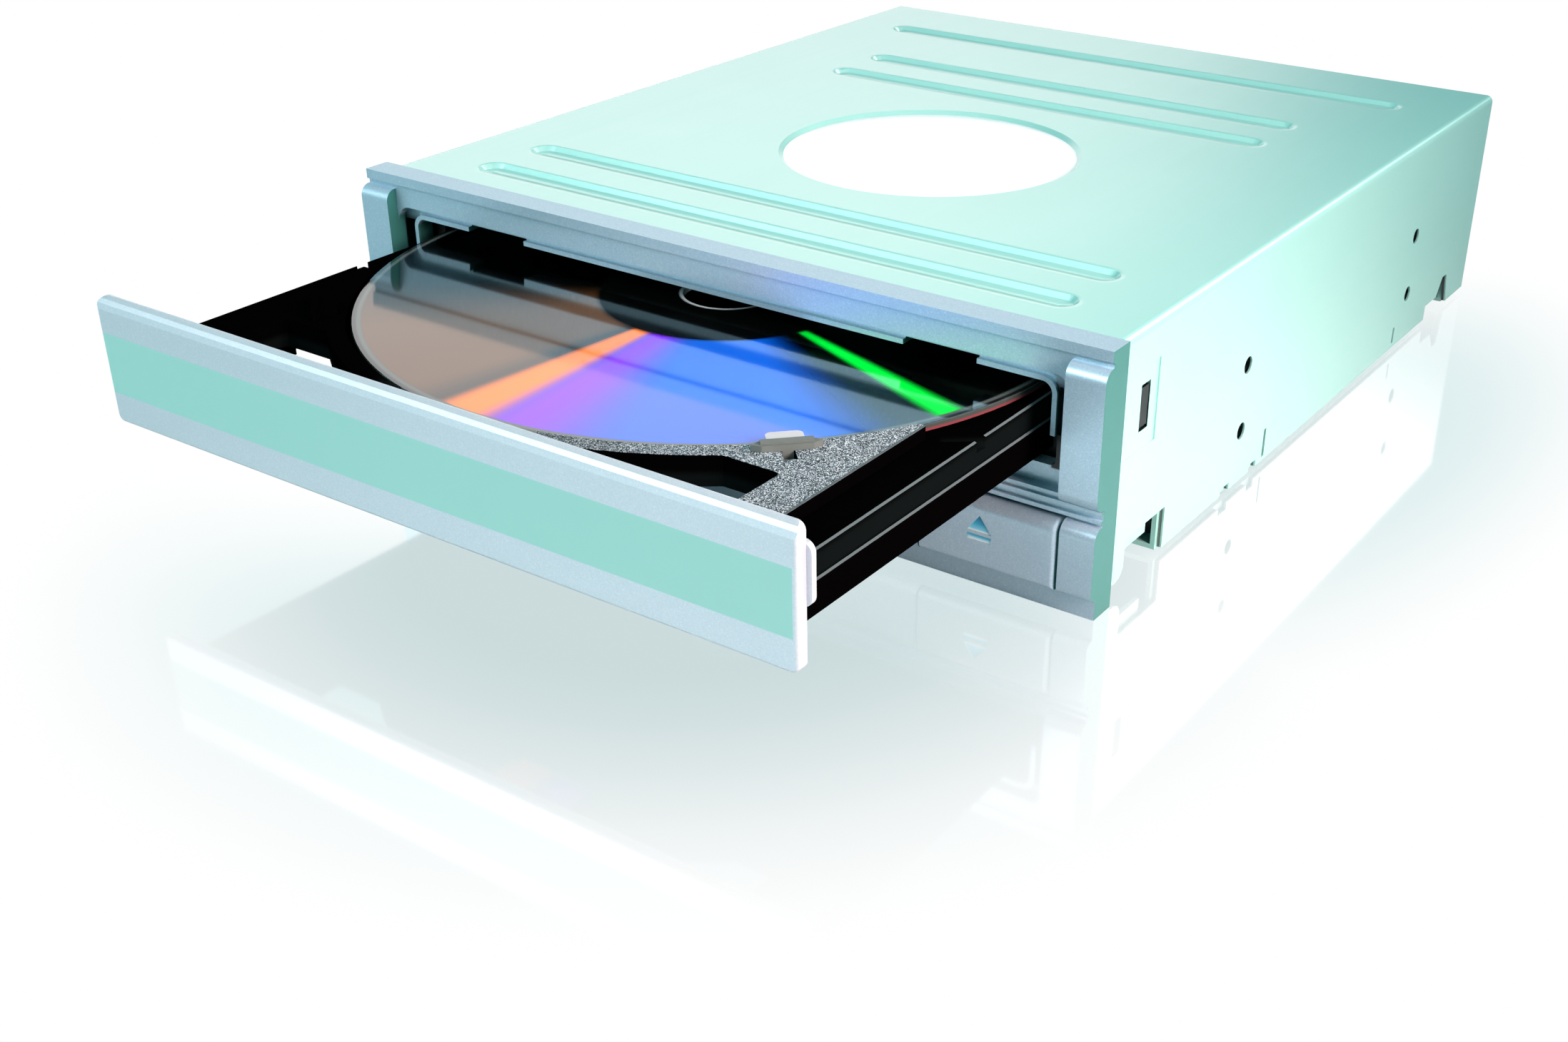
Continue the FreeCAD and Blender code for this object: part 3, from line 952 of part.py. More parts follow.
def rear_sockets():
    low, top = "board_low + board_thick", "board_low + board_thick + plug_high"
    front, back = "case_deep - plug_deep", "case_deep"
    mouth = f"{front} + 1.6"
    wall, beyond = "plug_wall", f"{back} + 1"
    data_right, power_right = "data_left + data_wide", "power_wide - board_half"
    middle = "data_left + data_wide / 2"
    data = less(block("data_left", data_right, front, back, low, top),
                block(f"data_left + {wall}", f"{data_right} - {wall}", mouth, beyond,
                      f"{low} + {wall}", f"{top} - {wall}"),
                block(f"{middle} - 2.1", f"{middle} + 2.1", mouth, beyond, f"{top} - 1.3", f"{top} + 1"))
    seat(data, "data_socket")
    levels = (f"{low} + 3.2", f"{low} + 5.8")
    missing = (9, levels[1])
    rows = [block(f"{middle} + {i - 9.5} * pitch - pin_thick / 2", f"{middle} + {i - 9.5} * pitch + pin_thick / 2",
                  mouth, f"{back} - 1.6", z, f"{z} + pin_thick")
            for i in range(20) for z in levels if (i, z) != missing]
    power = less(block("-board_half", power_right, front, back, low, f"{top} + 1.4"),
                 block(f"{wall} - board_half", f"{power_right} - {wall}", mouth, beyond, f"{low} + {wall}",
                       f"{top} + 1.4 - {wall}"))
    seat(power, "power_socket")
    studs = [rod(f"power_wide / 2 - board_half + {i - 1.5} * 2 * pitch", mouth, f"{low} + 5.2", "stud",
                 f"{back} - 1.4 - ({mouth})", **LYING) for i in range(4)]
    cells = [f"audio_left + {i} * audio_wide / 2 + 1" for i in (0, 1)]
    audio = less(block("audio_left", "audio_left + audio_wide", front, back, low, f"{top} - 1.8"),
                 *(block(x, f"{x} + audio_wide / 2 - 2", mouth, beyond, f"{low} + 1", f"{top} - 2.8") for x in cells))
    seat(audio, "audio_socket")
    seat(block("jumper_left", "jumper_left + jumper_wide", front, "case_deep - 4", low, f"{low} + 6"), "jumper_base")
    rows += [block(f"jumper_left + 1.4 + {i} * pitch", f"jumper_left + 1.4 + {i} * pitch + pin_thick",
                   "case_deep - 4", f"{back} - 0.8", f"{low} + {z}", f"{low} + {z} + pin_thick")
             for i in range(3) for z in (1.4, 3.94)]
    return rows, studs


def front_board():
    back = "front_board_y + front_board_thick"
    seat(block("light_x - 9", "frame_in - 1", "front_board_y", back, "light_z - 4.6", "light_z + 4.6"),
         "front_board")
    half = "switch_wide / 2"
    case = less(block(f"switch_x - {half}", f"switch_x + {half}", "switch_front", "front_board_y",
                      f"light_z - {half}", f"light_z + {half}"),
                rod("switch_x", "switch_front - 1", "light_z", "plunger + 0.15", "2.9", **LYING))
    seat(case, "eject_switch")
    seat(rod("switch_x", "switch_face", "light_z", "plunger", "2.4", **LYING), "switch_plunger")
    seat(block("light_x - 1.5", "light_x + 1.5", "front_board_y - 1.5", "front_board_y", "light_z - 1", "light_z + 1"),
         "indicator_led")


def cam_slider():
    bar = body("cam_slider")
    add(bar, "xz", "beam_rear + 0.05", "beam_rear + 3.2", box("-40", "28", "4", "18"))
    track = [("-30", "5.5"), ("-16", "5.5"), ("-8", "12"), ("2", "12"), ("2", "14.6"), ("-9.2", "14.6"),
             ("-17.2", "8.1"), ("-30", "8.1")]
    cut(bar, "xz", "beam_rear - 1", "beam_rear + 4", ring(*track))
    return seat(bar, "cam_slider")


def build():
    for make in (top_cover, bottom_cover, cover_screws, front_bezel, eject_button, eject_symbol, activity_light,
                 tray, tray_front, disc, disc_clips, loader_frame, loading_motor, motor_pulley, pulley_gear,
                 drive_gear, drive_belt, clamp_bridge, clamp_puck, traverse_chassis, dampers, spindle, pickup,
                 main_board, front_board, cam_slider):
        make()
    rows, studs = rear_sockets()
    seat(group(*rows, *studs), "socket_pins")
    doc.recompute()
    broken = [thing.Label for thing in doc.Objects if {"Invalid", "Error"} & set(thing.State)]
    if broken:
        raise RuntimeError("not computed: " + ", ".join(broken))
    os.makedirs("parts", exist_ok=True)
    for name, thing in NODES:
        shape = thing.Shape
        if shape.isNull() or not shape.isValid():
            raise RuntimeError(f"{name} has no valid shape")
        shape.exportStep(f"parts/{name}.step")
        print(f"{name}: {len(shape.Solids)} solids, {shape.Volume:.1f} cubic mm, {shape.BoundBox}")


build()
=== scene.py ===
import bmesh
import bpy
import math
from mathutils import Matrix, Vector

# An internal disc drive with its tray half out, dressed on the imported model.
# Lengths are in metres. The case stands on z = 0 and the tray slides out along -Y.

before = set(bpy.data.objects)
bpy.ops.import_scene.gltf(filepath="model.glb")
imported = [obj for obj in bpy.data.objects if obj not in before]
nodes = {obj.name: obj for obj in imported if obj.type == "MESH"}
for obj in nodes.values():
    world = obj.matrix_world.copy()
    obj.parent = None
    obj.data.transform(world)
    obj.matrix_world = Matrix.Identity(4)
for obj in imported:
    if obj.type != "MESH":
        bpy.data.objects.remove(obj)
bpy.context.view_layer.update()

MM = 0.001
BEZEL_Y = -0.087025
COVER_TOP = 41.3 * MM
FLOOR_Z = -0.95 * MM
DISC_CENTRE = (0.0, BEZEL_Y + 3.9 * MM, 0.0)
DISH_CENTRE = (0.0, BEZEL_Y + 64.3 * MM, COVER_TOP)

# The cover's ribs: how far behind the bezel each lies, and half its straight length, in mm
RIBS = ((10.0, 57.5), (23.4, 57.5), (103.5, 46.0), (117.8, 46.0), (144.0, 57.5))

# The disc's fans of colour round its front half are painted reflections, its left at 0 and its right at 1: five
# plain hues, roughly where the photo has such fans. Each begins, is full, begins to fade and is gone at these
# places.
PAINTED_FANS = (
    ("#604020", 0.15, 0.30, 0.42, 0.47),
    ("#FF8000", 0.46, 0.48, 0.50, 0.53),
    ("#8000FF", 0.50, 0.54, 0.56, 0.66),
    ("#0060E0", 0.54, 0.64, 0.76, 0.85),
    ("#00FF40", 0.87, 0.885, 0.89, 0.905))


# Camera, from the corners of the case, bezel and tray in the photograph

def place_camera():
    data = bpy.data.cameras.new("photo_camera")
    data.sensor_fit = "HORIZONTAL"
    data.sensor_width = 36.0
    data.lens = 42.35
    data.shift_x = -0.0544
    data.shift_y = 0.0255
    data.clip_start = 0.01
    camera = bpy.data.objects.new("photo_camera", data)
    pan, tip, roll = (math.radians(angle) for angle in (33.961, 61.285, 0.435))
    turn = Matrix.Rotation(pan, 4, "Z") @ Matrix.Rotation(tip, 4, "X") @ Matrix.Rotation(roll, 4, "Z")
    camera.matrix_world = Matrix.Translation((0.1783, -0.306505, 0.13826)) @ turn
    bpy.context.scene.collection.objects.link(camera)
    bpy.context.scene.camera = camera


place_camera()


# Shader helpers

def linear(code):
    """A written sRGB hex colour as the linear one that a shader takes."""
    parts = [int(code[i:i + 2], 16) / 255 for i in (1, 3, 5)]
    return [c / 12.92 if c <= 0.04045 else ((c + 0.055) / 1.055) ** 2.4 for c in parts] + [1.0]


def add(tree, kind, inputs, output=0, stops=(), **settings):
    """Add a node and return one output. An input is a value, a hex colour or an output to link."""
    made = tree.nodes.new(kind)
    for name, value in settings.items():
        setattr(made, name, value)
    for name, value in inputs.items():
        if isinstance(value, bpy.types.NodeSocket):
            tree.links.new(value, made.inputs[name])
        else:
            made.inputs[name].default_value = linear(value) if isinstance(value, str) else value
    while stops and len(made.color_ramp.elements) < len(stops):
        made.color_ramp.elements.new(0.5)
    for index, (position, colour) in enumerate(stops):
        point = made.color_ramp.elements[index]
        point.position = position
        point.color = linear(colour) if isinstance(colour, str) else (colour, colour, colour, 1.0)
    return made.outputs[output]


def start(name, colour, metallic, roughness, **more):
    """A new material, its node tree, its shader with these sockets set, and the object's coordinates."""
    material = bpy.data.materials.new(name)
    material.use_nodes = True
    tree = material.node_tree
    shader = tree.nodes["Principled BSDF"]
    values = {"Base Color": linear(colour), "Metallic": metallic, "Roughness": roughness}
    for socket, value in {**values, **more}.items():
        shader.inputs[socket.replace("_", " ")].default_value = value
    return material, tree, shader, add(tree, "ShaderNodeTexCoord", {}, "Object")


def wire(tree, shader, **sockets):
    """Link each output to the shader's socket of that name."""
    for name, output in sockets.items():
        tree.links.new(output, shader.inputs[name.replace("_", " ")])


def mask(tree, *edges):
    """1 where every value is past its edge, 0 elsewhere. An edge is (value, where it begins, where full)."""
    whole = 1.0
    for value, begins, full in edges:
        part = add(tree, "ShaderNodeMapRange", {"Value": value, "From Min": begins, "From Max": full},
                   interpolation_type="SMOOTHSTEP")
        whole = add(tree, "ShaderNodeMath", {0: part, 1: whole}, operation="MULTIPLY")
    return whole


def paint(tree, base, *coats):
    """The base colour with each (mask, colour) laid over it in turn."""
    for cover, colour in coats:
        base = add(tree, "ShaderNodeMix", {0: cover, 6: base, 7: colour}, 2, data_type="RGBA")
    return base


def distance(tree, place, centre, weights=(1.0, 1.0, 1.0)):
    """How far a point lies from a centre, with each axis counted by its weight."""
    step = add(tree, "ShaderNodeVectorMath", {0: place, 1: centre}, operation="SUBTRACT")
    step = add(tree, "ShaderNodeVectorMath", {0: step, 1: weights}, operation="MULTIPLY")
    return add(tree, "ShaderNodeVectorMath", {0: step}, "Value", operation="LENGTH")


def sides(tree, place):
    """The distance from the middle plane, Y, Z, and the way the surface faces, with X made positive."""
    across, along, height = add(tree, "ShaderNodeSeparateXYZ", {"Vector": place}).node.outputs
    across = add(tree, "ShaderNodeMath", {0: across}, operation="ABSOLUTE")
    normal = add(tree, "ShaderNodeTexCoord", {}, "Normal")
    facing = add(tree, "ShaderNodeSeparateXYZ", {"Vector": normal}).node.outputs
    aside = add(tree, "ShaderNodeMath", {0: facing[0]}, operation="ABSOLUTE")
    return across, along, height, facing, aside


def dress(material, *names):
    for name in names:
        node = nodes[name]
        node.data.materials.clear()
        node.data.materials.append(material)


# Finishes of the casing and the front

def zinc_steel(name, **coat):
    """Cold-rolled sheet, pale passivated zinc: satin, with the faint streaks of rolling 2 mm apart."""
    material, tree, shader, place = start(name, "#9BD8CE", 0.3, 0.33, Coat_Roughness=0.22, **coat)
    clouds = add(tree, "ShaderNodeTexNoise", {"Vector": place, "Scale": 40.0, "Detail": 2.0})
    streaks = add(tree, "ShaderNodeMapping", {"Vector": place, "Scale": (500.0, 10.0, 500.0)})
    drawn = add(tree, "ShaderNodeTexNoise", {"Vector": streaks, "Scale": 1.0, "Detail": 1.0})
    rough = add(tree, "ShaderNodeMapRange", {"Value": drawn, "To Min": 0.30, "To Max": 0.36})
    wire(tree, shader, Roughness=rough)
    return material, tree, shader, place, paint(tree, "#96D5CA", (clouds, "#A1DAD1"))


def cover_sheet():
    """The cover: its dish painted white as a highlight, ribs with soft troughs. The side holes' cut edges are
    painted dark as shade.
    """
    material, tree, shader, place, sheet = zinc_steel("zinc_coated_steel", Coat_Weight=1.0, Coat_IOR=2.1)
    # Painted highlight: the round dish is painted white.
    painted_highlight_dish = mask(tree, (distance(tree, place, DISH_CENTRE), 27.2 * MM, 27.0 * MM))
    across, along, height, facing, aside = sides(tree, place)
    # Painted shade: the walls of the side holes are painted near black.
    painted_shade_holes = mask(tree, (aside, 0.5, 0.3), (across, 71.0 * MM, 71.5 * MM), (across, 72.72 * MM, 72.66 * MM),
                    (height, 32.0 * MM, 31.0 * MM), (along, 76.0 * MM, 75.0 * MM))
    nearest = 1.0
    for behind, half_length in RIBS:
        middle = (0.0, BEZEL_Y + behind * MM, COVER_TOP)
        reach = (half_length * MM, 0.0, 0.0)
        step = add(tree, "ShaderNodeVectorMath", {0: place, 1: middle}, operation="SUBTRACT")
        step = add(tree, "ShaderNodeVectorMath", {0: step}, operation="ABSOLUTE")
        step = add(tree, "ShaderNodeVectorMath", {0: step, 1: reach}, operation="SUBTRACT")
        step = add(tree, "ShaderNodeVectorMath", {0: step, 1: (0.0, 0.0, 0.0)}, operation="MAXIMUM")
        away = add(tree, "ShaderNodeVectorMath", {0: step}, "Value", operation="LENGTH")
        nearest = add(tree, "ShaderNodeMath", {0: away, 1: nearest}, operation="MINIMUM")
    trough = mask(tree, (nearest, 0.0, 3.6 * MM))
    pressed = add(tree, "ShaderNodeBump", {"Height": trough, "Distance": 0.8 * MM, "Strength": 1.0})
    wire(tree, shader, Base_Color=paint(tree, sheet, (painted_highlight_dish, "#FFFFFF"), (painted_shade_holes, "#0B1110")),
         Normal=pressed, Coat_Normal=pressed)
    return material


def pan_sheet():
    """The folded pan: zinc, painted dark as shade above 8.3 mm, where it shows through the cover's holes, and
    so on the rear wall too.
    """
    material, tree, shader, place, sheet = zinc_steel("zinc_coated_pan", Coat_Weight=0.1, Coat_IOR=1.5)
    height = add(tree, "ShaderNodeSeparateXYZ", {"Vector": place}, "Z")
    # Painted shade: the pan is near black above 8.3 mm.
    wire(tree, shader, Base_Color=paint(tree, sheet, (mask(tree, (height, 8.3 * MM, 8.6 * MM)), "#0B1110")))
    return material


def silver_lacquer(name, colour):
    """Moulded ABS sprayed with silver lacquer. Its flakes are drawn 0.15 mm across, coarse enough to show."""
    material, tree, shader, place = start(name, colour, 0.5, 0.36, Coat_Weight=0.2, Coat_Roughness=0.15)
    flakes = add(tree, "ShaderNodeTexVoronoi", {"Vector": place, "Scale": 6500.0}, "Color", feature="F1")
    spark = add(tree, "ShaderNodeSeparateColor", {"Color": flakes}, "Red")
    tint = add(tree, "ShaderNodeValToRGB", {"Fac": spark}, stops=(
        (0.0, 0.42), (0.5, 0.50), (0.9, 0.56), (1.0, 0.68)))
    base = add(tree, "ShaderNodeMix", {0: 0.6, 6: colour, 7: tint}, 2, data_type="RGBA", blend_type="OVERLAY")
    return material, tree, shader, place, base


def bezel_lacquer():
    """The bezel. Its right end, the mouth's groove and the latches are painted dark as shade."""
    material, tree, shader, place, base = silver_lacquer("silver_abs", "#A9C4D3")
    across, along, height, facing, aside = sides(tree, place)
    # Painted shade: faces turned to the right are painted dark teal.
    painted_shade_right_end = mask(tree, (facing[0], 0.8, 0.95))
    # Painted shade: the groove round the mouth is painted near black.
    painted_shade_groove = mask(tree, (across, 63.9 * MM, 64.4 * MM), (across, 68.8 * MM, 68.4 * MM),
                  (height, 20.4 * MM, 20.8 * MM), (height, 36.0 * MM, 33.0 * MM),
                  (along, -90.2 * MM, -89.8 * MM))
    # Painted shade: the latches and all else behind the bezel's front are painted near black.
    painted_shade_latch = mask(tree, (along, -86.2 * MM, -85.8 * MM))
    base = paint(tree, base, (painted_shade_right_end, "#3E837C"), (painted_shade_groove, "#141C1E"), (painted_shade_latch, "#0A0F10"))
    wire(tree, shader, Base_Color=base)
    return material


def panel_lacquer():
    """The tray's front panel: the same lacquer with a printed pale green stripe, which is not metallic."""
    material, tree, shader, place, base = silver_lacquer("silver_abs_panel", "#D2D9E1")
    across, along, height = add(tree, "ShaderNodeSeparateXYZ", {"Vector": place}).node.outputs
    normal = add(tree, "ShaderNodeTexCoord", {}, "Normal")
    forward = add(tree, "ShaderNodeSeparateXYZ", {"Vector": normal}, "Y")
    stripe = mask(tree, (height, 23.35 * MM, 23.45 * MM), (height, 33.25 * MM, 33.15 * MM),
                  (across, 64.8 * MM, 64.7 * MM), (forward, -0.7, -0.9))
    metal = add(tree, "ShaderNodeMapRange", {"Value": stripe, "To Min": 0.5, "To Max": 0.05})
    wire(tree, shader, Base_Color=paint(tree, base, (stripe, "#9DCFC6")), Metallic=metal)
    return material


def clear_blue_acrylic():
    """A pale blue insert with its light painted in a gradient: the triangle deepens upwards as painted shade,
    and the bar has a pale edge, a painted highlight.
    """
    material, tree, shader, place = start("clear_blue_acrylic", "#27A4CC", 0.0, 0.08)
    height = add(tree, "ShaderNodeSeparateXYZ", {"Vector": place}, "Z")
    # Painted light: the pale stops are painted highlights at the edges, the deeper blues painted shade.
    tint = add(tree, "ShaderNodeValToRGB", {"Fac": mask(tree, (height, 7.2 * MM, 11.9 * MM))}, stops=(
        (0.0, "#F4FBFC"), (0.07, "#5CCBE8"), (0.2, "#1C78A4"), (0.34, "#EAF6FA"), (0.42, "#7ED8EE"),
        (0.7, "#2CA8D0"), (1.0, "#12789F")))
    wire(tree, shader, Base_Color=tint)
    return material


def black_abs():
    """Black moulded ABS: painted highlights on the edges, a painted sheen on the rails, and a spark-eroded
    grain on the deck with a painted sheen.

    The deck's grains are drawn 0.12 mm across, as coarse as they need to be to show.
    """
    material, tree, shader, place = start("black_tray_abs", "#020202", 0.0, 0.4, Specular_IOR_Level=0.0)
    flakes = add(tree, "ShaderNodeTexVoronoi", {"Vector": place, "Scale": 8000.0}, "Color", feature="F1")
    spark = add(tree, "ShaderNodeSeparateColor", {"Color": flakes}, "Red")
    speckle_and_sheen = add(tree, "ShaderNodeValToRGB", {"Fac": spark}, stops=(
        (0.0, "#0E1416"), (0.35, "#364246"), (0.7, "#73848A"), (1.0, "#D6E4E8")))
    across, along, height = add(tree, "ShaderNodeSeparateXYZ", {"Vector": place}).node.outputs
    above_deck = (height, 32.9 * MM, 32.97 * MM)
    # Grain with a painted sheen: the deck's speckle is painted brighter towards the right.
    deck_grain_and_sheen = mask(tree, above_deck, (across, -20.0 * MM, 36.0 * MM))
    # Painted highlight: the deck's brink and the slanting edges are painted grey.
    painted_highlight_brink = mask(tree, above_deck, (across, 55.2 * MM, 55.3 * MM))
    # Painted sheen: the band of the rails is painted dark teal.
    painted_sheen_rail = mask(tree, (height, 26.8 * MM, 27.4 * MM), (height, 30.9 * MM, 29.6 * MM))
    facing, aside = sides(tree, place)[3:]
    tilt = add(tree, "ShaderNodeMath", {0: aside, 1: facing[2]}, operation="MULTIPLY")
    painted_highlight_edge = add(tree, "ShaderNodeMath", {0: painted_highlight_brink, 1: mask(tree, (tilt, 0.42, 0.48))}, operation="MAXIMUM")
    wire(tree, shader, Base_Color=paint(tree, "#020202", (painted_sheen_rail, "#080D0D"), (deck_grain_and_sheen, speckle_and_sheen), (painted_highlight_edge, "#4B595B")))
    return material


def disc_clip_acetal():
    """Grey acetal, the bar that slides in the slot painted darker than its thin finger over the disc, as shade.
    """
    material, tree, shader, place = start("grey_acetal", "#747870", 0.0, 0.45)
    radius = distance(tree, place, DISC_CENTRE, (1.0, 1.0, 0.0))
    # Painted shade: outside the disc's edge the clip is painted darker.
    painted_shade_bar = mask(tree, (radius, 61.5 * MM, 61.9 * MM))
    wire(tree, shader, Base_Color=paint(tree, "#AEB4B6", (painted_shade_bar, "#5A6460")))
    return material


def pressed_disc():
    """Polycarbonate over a metal film: a clear hub painted black as shade, then fans of colour from its fine
    spiral painted by angle as reflections, and a painted glint at the bore.

    Its normals lean back a little, a value fitted to the reflections in the photo.
    """
    material, tree, shader, place = start("pressed_disc", "#C9CCD4", 0.0, 0.06, IOR=2.0)
    radius = distance(tree, place, DISC_CENTRE, (1.0, 1.0, 0.0))
    local = add(tree, "ShaderNodeVectorMath", {0: place, 1: DISC_CENTRE}, operation="SUBTRACT")
    across, along, height = add(tree, "ShaderNodeSeparateXYZ", {"Vector": local}).node.outputs
    along = add(tree, "ShaderNodeMath", {0: along}, operation="ABSOLUTE")
    along = add(tree, "ShaderNodeMath", {0: along, 1: -1.0}, operation="MULTIPLY")
    front = add(tree, "ShaderNodeCombineXYZ", {"X": across, "Y": along})
    turn = add(tree, "ShaderNodeTexGradient", {"Vector": front}, "Fac", gradient_type="RADIAL")
    half_turn = add(tree, "ShaderNodeMath", {0: turn, 1: 2.0}, operation="MULTIPLY")
    # Painted reflections: the fans' hues are painted by angle.
    painted_fans = [(mask(tree, (half_turn, begins, full), (half_turn, gone, fades)), hue)
            for hue, begins, full, fades, gone in PAINTED_FANS]
    painted_film = paint(tree, "#000000", *painted_fans)

    ring = add(tree, "ShaderNodeMapRange", {"Value": radius, "From Min": 21 * MM, "From Max": 60 * MM})
    shown = add(tree, "ShaderNodeValToRGB", {"Fac": ring}, stops=(
        (0.0, 0.0), (0.025, 1.0), (0.955, 1.0), (0.965, 0.0)))
    polish = add(tree, "ShaderNodeValToRGB", {"Fac": ring}, stops=((0.0, 0.02), (0.02, 0.36)))
    # Painted shade: the clear hub is painted near black; the grey band near the edge is the clear rim.
    hub_shade_and_rim = add(tree, "ShaderNodeValToRGB", {"Fac": ring}, stops=(
        (0.9, "#020303"), (0.955, "#020303"), (0.96, "#47524F"), (0.975, "#525D5A"), (0.983, "#101314"),
        (1.0, "#121415")))
    rim = mask(tree, (radius, 59.8 * MM, 59.95 * MM))
    rim_colour = paint(tree, "#6A363C", (mask(tree, (height, 31.4 * MM, 31.5 * MM)), "#39423F"))
    # Painted highlight: a pale ring at the bore's edge.
    painted_glint_bore = mask(tree, (radius, 8.4 * MM, 7.9 * MM))
    upright = add(tree, "ShaderNodeNewGeometry", {}, "Normal")
    leaned = add(tree, "ShaderNodeVectorMath", {0: upright, 1: (0.0, 0.095, 0.0)}, operation="ADD")
    wire(tree, shader, Base_Color=paint(tree, hub_shade_and_rim, (shown, painted_film), (rim, rim_colour), (painted_glint_bore, "#B4C0C2")),
         Specular_IOR_Level=polish, Normal=leaned)
    return material


# Finishes of the inner pieces

def moulded(name, colour, roughness, grain_mm, depth_mm=0.01):
    """Plain moulded plastic or rubber with the fine grain its mould leaves."""
    material, tree, shader, place = start(name, colour, 0.0, roughness)
    grain = add(tree, "ShaderNodeTexNoise", {"Vector": place, "Scale": 1.0 / (grain_mm * MM), "Detail": 2.0})
    shade = add(tree, "ShaderNodeValToRGB", {"Fac": grain}, stops=((0.3, 0.42), (0.7, 0.58)))
    skin = add(tree, "ShaderNodeMix", {0: 0.5, 6: colour, 7: shade}, 2, data_type="RGBA", blend_type="OVERLAY")
    raised = add(tree, "ShaderNodeBump", {"Height": grain, "Distance": depth_mm * MM, "Strength": 1.0})
    wire(tree, shader, Base_Color=skin, Normal=raised)
    return material


def machined(name, colour, roughness, marks_per_metre):
    """Bare metal with fine tool or rolling marks, closest across the way the tool went."""
    material, tree, shader, place = start(name, colour, 1.0, roughness)
    drawn = add(tree, "ShaderNodeMapping", {"Vector": place, "Scale": marks_per_metre})
    marks = add(tree, "ShaderNodeTexNoise", {"Vector": drawn, "Scale": 1.0, "Detail": 2.0})
    rough = add(tree, "ShaderNodeMapRange", {
        "Value": marks, "To Min": roughness - 0.06, "To Max": roughness + 0.08})
    raised = add(tree, "ShaderNodeBump", {"Height": marks, "Distance": 0.003 * MM, "Strength": 1.0})
    wire(tree, shader, Roughness=rough, Normal=raised)
    return material


def circuit_board():
    """Epoxy board under green solder mask, with paler copper runs below it."""
    material, tree, shader, place = start("solder_masked_board", "#1D5B33", 0.0, 0.35)
    runs = add(tree, "ShaderNodeTexBrick", {"Vector": place, "Scale": 160.0, "Mortar Size": 0.06,
                                            "Color1": "#1D5B33", "Color2": "#23663A", "Mortar": "#3B8A55"})
    joints = runs.node.outputs["Fac"]
    raised = add(tree, "ShaderNodeBump", {"Height": joints, "Distance": 0.02 * MM, "Strength": 1.0})
    wire(tree, shader, Base_Color=runs, Normal=raised)
    return material


def optical_glass():
    """Coated moulded lens: clear, with a faint blue bloom."""
    material, tree, shader, place = start("coated_lens", "#C9D2F0", 0.0, 0.02, Transmission_Weight=0.9, IOR=1.5)
    bloom = add(tree, "ShaderNodeTexNoise", {"Vector": place, "Scale": 300.0})
    wire(tree, shader, Base_Color=paint(tree, "#C2CCF2", (bloom, "#D6DAF4")))
    return material


dress(cover_sheet(), "top_cover")
dress(pan_sheet(), "bottom_cover")
dress(bezel_lacquer(), "front_bezel", "eject_button")
dress(panel_lacquer(), "tray_front_panel")
dress(clear_blue_acrylic(), "eject_symbol")
dress(moulded("frosted_light_pipe", "#B9C6B4", 0.25, 0.4), "activity_light", "indicator_led")
# Painted shade: the left clips are the same grey acetal as the right ones, dressed in the tray's black.
dress(black_abs(), "tray", "disc_clip_front_left", "disc_clip_rear_left")
dress(disc_clip_acetal(), "disc_clip_front_right", "disc_clip_rear_right")
dress(pressed_disc(), "disc")
dress(moulded("black_frame_abs", "#1B1C1E", 0.5, 0.4), "loader_frame", "cam_slider", "traverse_chassis",
      "turntable")
dress(moulded("black_acetal", "#242527", 0.35, 0.3), "pulley_gear", "motor_pulley", "tray_drive_gear")
dress(moulded("white_acetal", "#E6E6DF", 0.35, 0.3), "clamp_puck", "sled_nut", "power_socket")
dress(moulded("black_rubber", "#151515", 0.75, 0.5, 0.02), "drive_belt", "rubber_dampers", "turntable_pad")
dress(machined("bright_steel", "#CFCFD0", 0.22, (60.0, 1500.0, 1500.0)), "cover_screws", "damper_screws",
      "clamp_bridge", "clamp_yoke", "spindle_motor_base", "main_guide_rod", "sub_guide_rod", "lead_screw",
      "loading_motor", "sled_motor", "spindle_rotor")
dress(machined("cast_aluminium", "#B9BABC", 0.42, (300.0, 300.0, 300.0)), "pickup_sled")
dress(optical_glass(), "objective_lens")
dress(moulded("sintered_magnet", "#5A5A5E", 0.5, 0.2), "clamp_magnet")
dress(circuit_board(), "main_board", "front_board")
dress(moulded("black_connector_resin", "#1A1A1B", 0.45, 0.3), "board_chips", "data_socket", "jumper_base",
      "audio_socket", "eject_switch", "switch_plunger")
dress(moulded("capacitor_sleeve", "#26345E", 0.25, 0.5), "board_capacitors")
dress(machined("gold_plated_pins", "#D9B566", 0.25, (900.0, 40.0, 900.0)), "socket_pins")


# Floor, backdrop and lamps

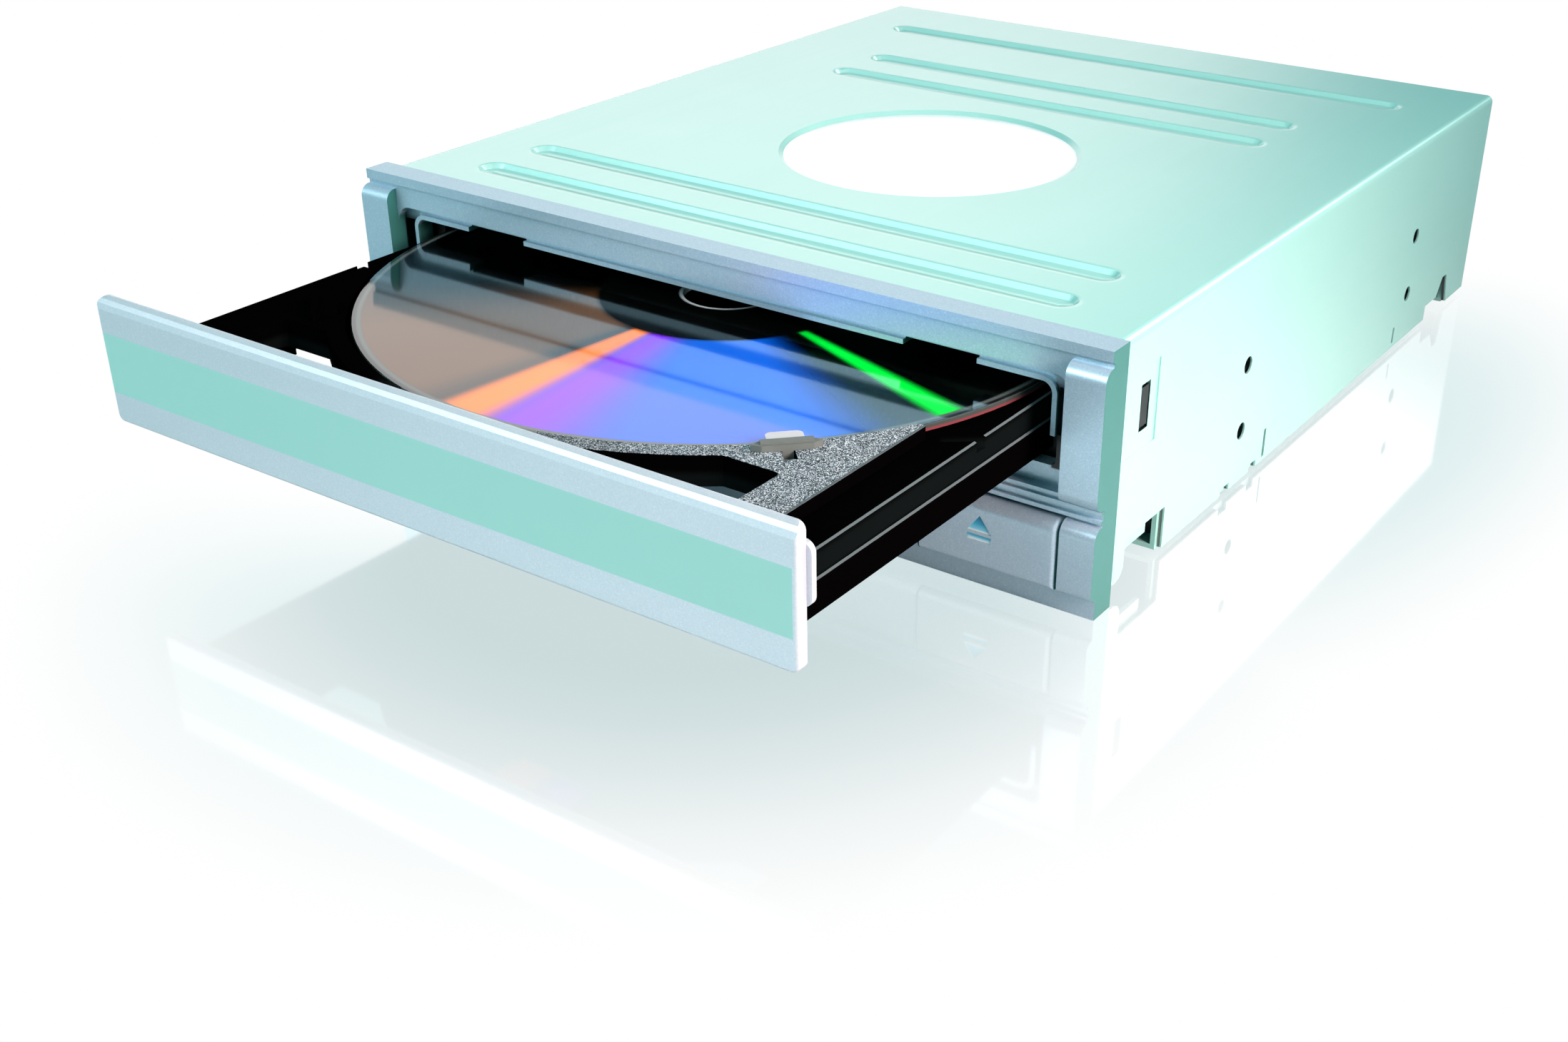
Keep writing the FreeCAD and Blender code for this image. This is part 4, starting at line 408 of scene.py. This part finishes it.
def lay_floor():
    """A gloss white floor, dimmer near the drive as painted shade, that mirrors the drive under its tray and
    beside it, and fades to white.
    """
    bm = bmesh.new()
    bmesh.ops.create_grid(bm, x_segments=1, y_segments=1, size=4.0)
    bmesh.ops.translate(bm, verts=bm.verts, vec=(0, 0, FLOOR_Z))
    mesh = bpy.data.meshes.new("studio_floor")
    bm.to_mesh(mesh)
    bm.free()
    floor = bpy.data.objects.new("studio_floor", mesh)
    bpy.context.scene.collection.objects.link(floor)

    material, tree, shader, place = start("gloss_white_floor", "#A9B9B9", 0.0, 0.2)
    from_tray = distance(tree, place, (0.005, -0.1, 0.0))
    from_side = distance(tree, place, (0.078, -0.01, 0.0), (1.0, 0.45, 1.0))
    under = mask(tree, (from_tray, 0.11, 0.045))
    beside = mask(tree, (from_side, 0.05, 0.015))
    beside = add(tree, "ShaderNodeMath", {0: 0.8, 1: beside}, operation="MULTIPLY")
    shade_and_mirror_zone = add(tree, "ShaderNodeMath", {0: under, 1: beside}, operation="MAXIMUM")
    # Painted shade: near the drive the camera sees the floor glow dimmer, with its mirror reflection added.
    painted_shade_glow = add(tree, "ShaderNodeEmission", {"Color": (0.60, 0.71, 0.72, 1), "Strength": 1.0})
    gloss = add(tree, "ShaderNodeBsdfAnisotropic", {"Color": (0.40, 0.29, 0.28, 1), "Roughness": 0.06})
    shade_and_mirror = add(tree, "ShaderNodeAddShader", {0: painted_shade_glow, 1: gloss})
    far = add(tree, "ShaderNodeEmission", {"Color": (1, 1, 1, 1), "Strength": 1.0})
    shown = add(tree, "ShaderNodeMixShader", {0: shade_and_mirror_zone, 1: far, 2: shade_and_mirror})
    seen = add(tree, "ShaderNodeLightPath", {}, "Is Camera Ray")
    mixed = add(tree, "ShaderNodeMixShader", {0: seen, 1: shader.outputs["BSDF"], 2: shown})
    tree.links.new(mixed, tree.nodes["Material Output"].inputs["Surface"])
    mesh.materials.append(material)


def lamp(name, place, aim, size, power, colour="#FFFFFF", spread=180, mirrored=True):
    data = bpy.data.lights.new(name, "AREA")
    data.shape = "RECTANGLE"
    data.size, data.size_y = size
    data.energy = power
    data.spread = math.radians(spread)
    data.color = linear(colour)[:3]
    made = bpy.data.objects.new(name, data)
    heading = Vector(aim) - Vector(place)
    made.matrix_world = Matrix.Translation(place) @ heading.to_track_quat("-Z", "Y").to_matrix().to_4x4()
    made.visible_glossy = mirrored
    bpy.context.scene.collection.objects.link(made)


def light_studio():
    """Three softboxes in a dim teal room with a bright tent at the back left, seen as white by the camera."""
    world = bpy.data.worlds.new("studio")
    bpy.context.scene.world = world
    world.use_nodes = True
    tree = world.node_tree
    view = add(tree, "ShaderNodeTexCoord", {}, "Generated")
    back_left = (-0.72, 0.69, 0.0)
    toward = add(tree, "ShaderNodeVectorMath", {0: view, 1: back_left}, "Value", operation="DOT_PRODUCT")
    tent = paint(tree, (0.19, 0.41, 0.42, 1.0), (mask(tree, (toward, 0.855, 0.91)), (1.2, 1.2, 1.2, 1.0)))
    rays = add(tree, "ShaderNodeLightPath", {}).node.outputs
    direct, through = rays["Is Camera Ray"], rays["Is Transmission Ray"]
    seen = add(tree, "ShaderNodeMath", {0: direct, 1: through}, operation="MAXIMUM")
    wire(tree, tree.nodes["Background"], Color=paint(tree, tent, (seen, "#FFFFFF")))
    lamp("left_softbox", (-0.35, -0.85, 0.52), (0.0, -0.06, 0.02), (0.8, 0.5), 7.4, "#E6F6FC")
    lamp("edge_softbox", (0.6, 1.05, 0.7), (0.07, 0.0, 0.04), (0.5, 0.4), 3.0)
    lamp("side_softbox", (0.42, -0.13, 0.2), (0.073, -0.085, 0.02), (0.2, 0.2), 0.7, "#FFDAD7",
         spread=55, mirrored=False)


lay_floor()
light_studio()
bpy.context.scene.view_settings.view_transform = "Standard"
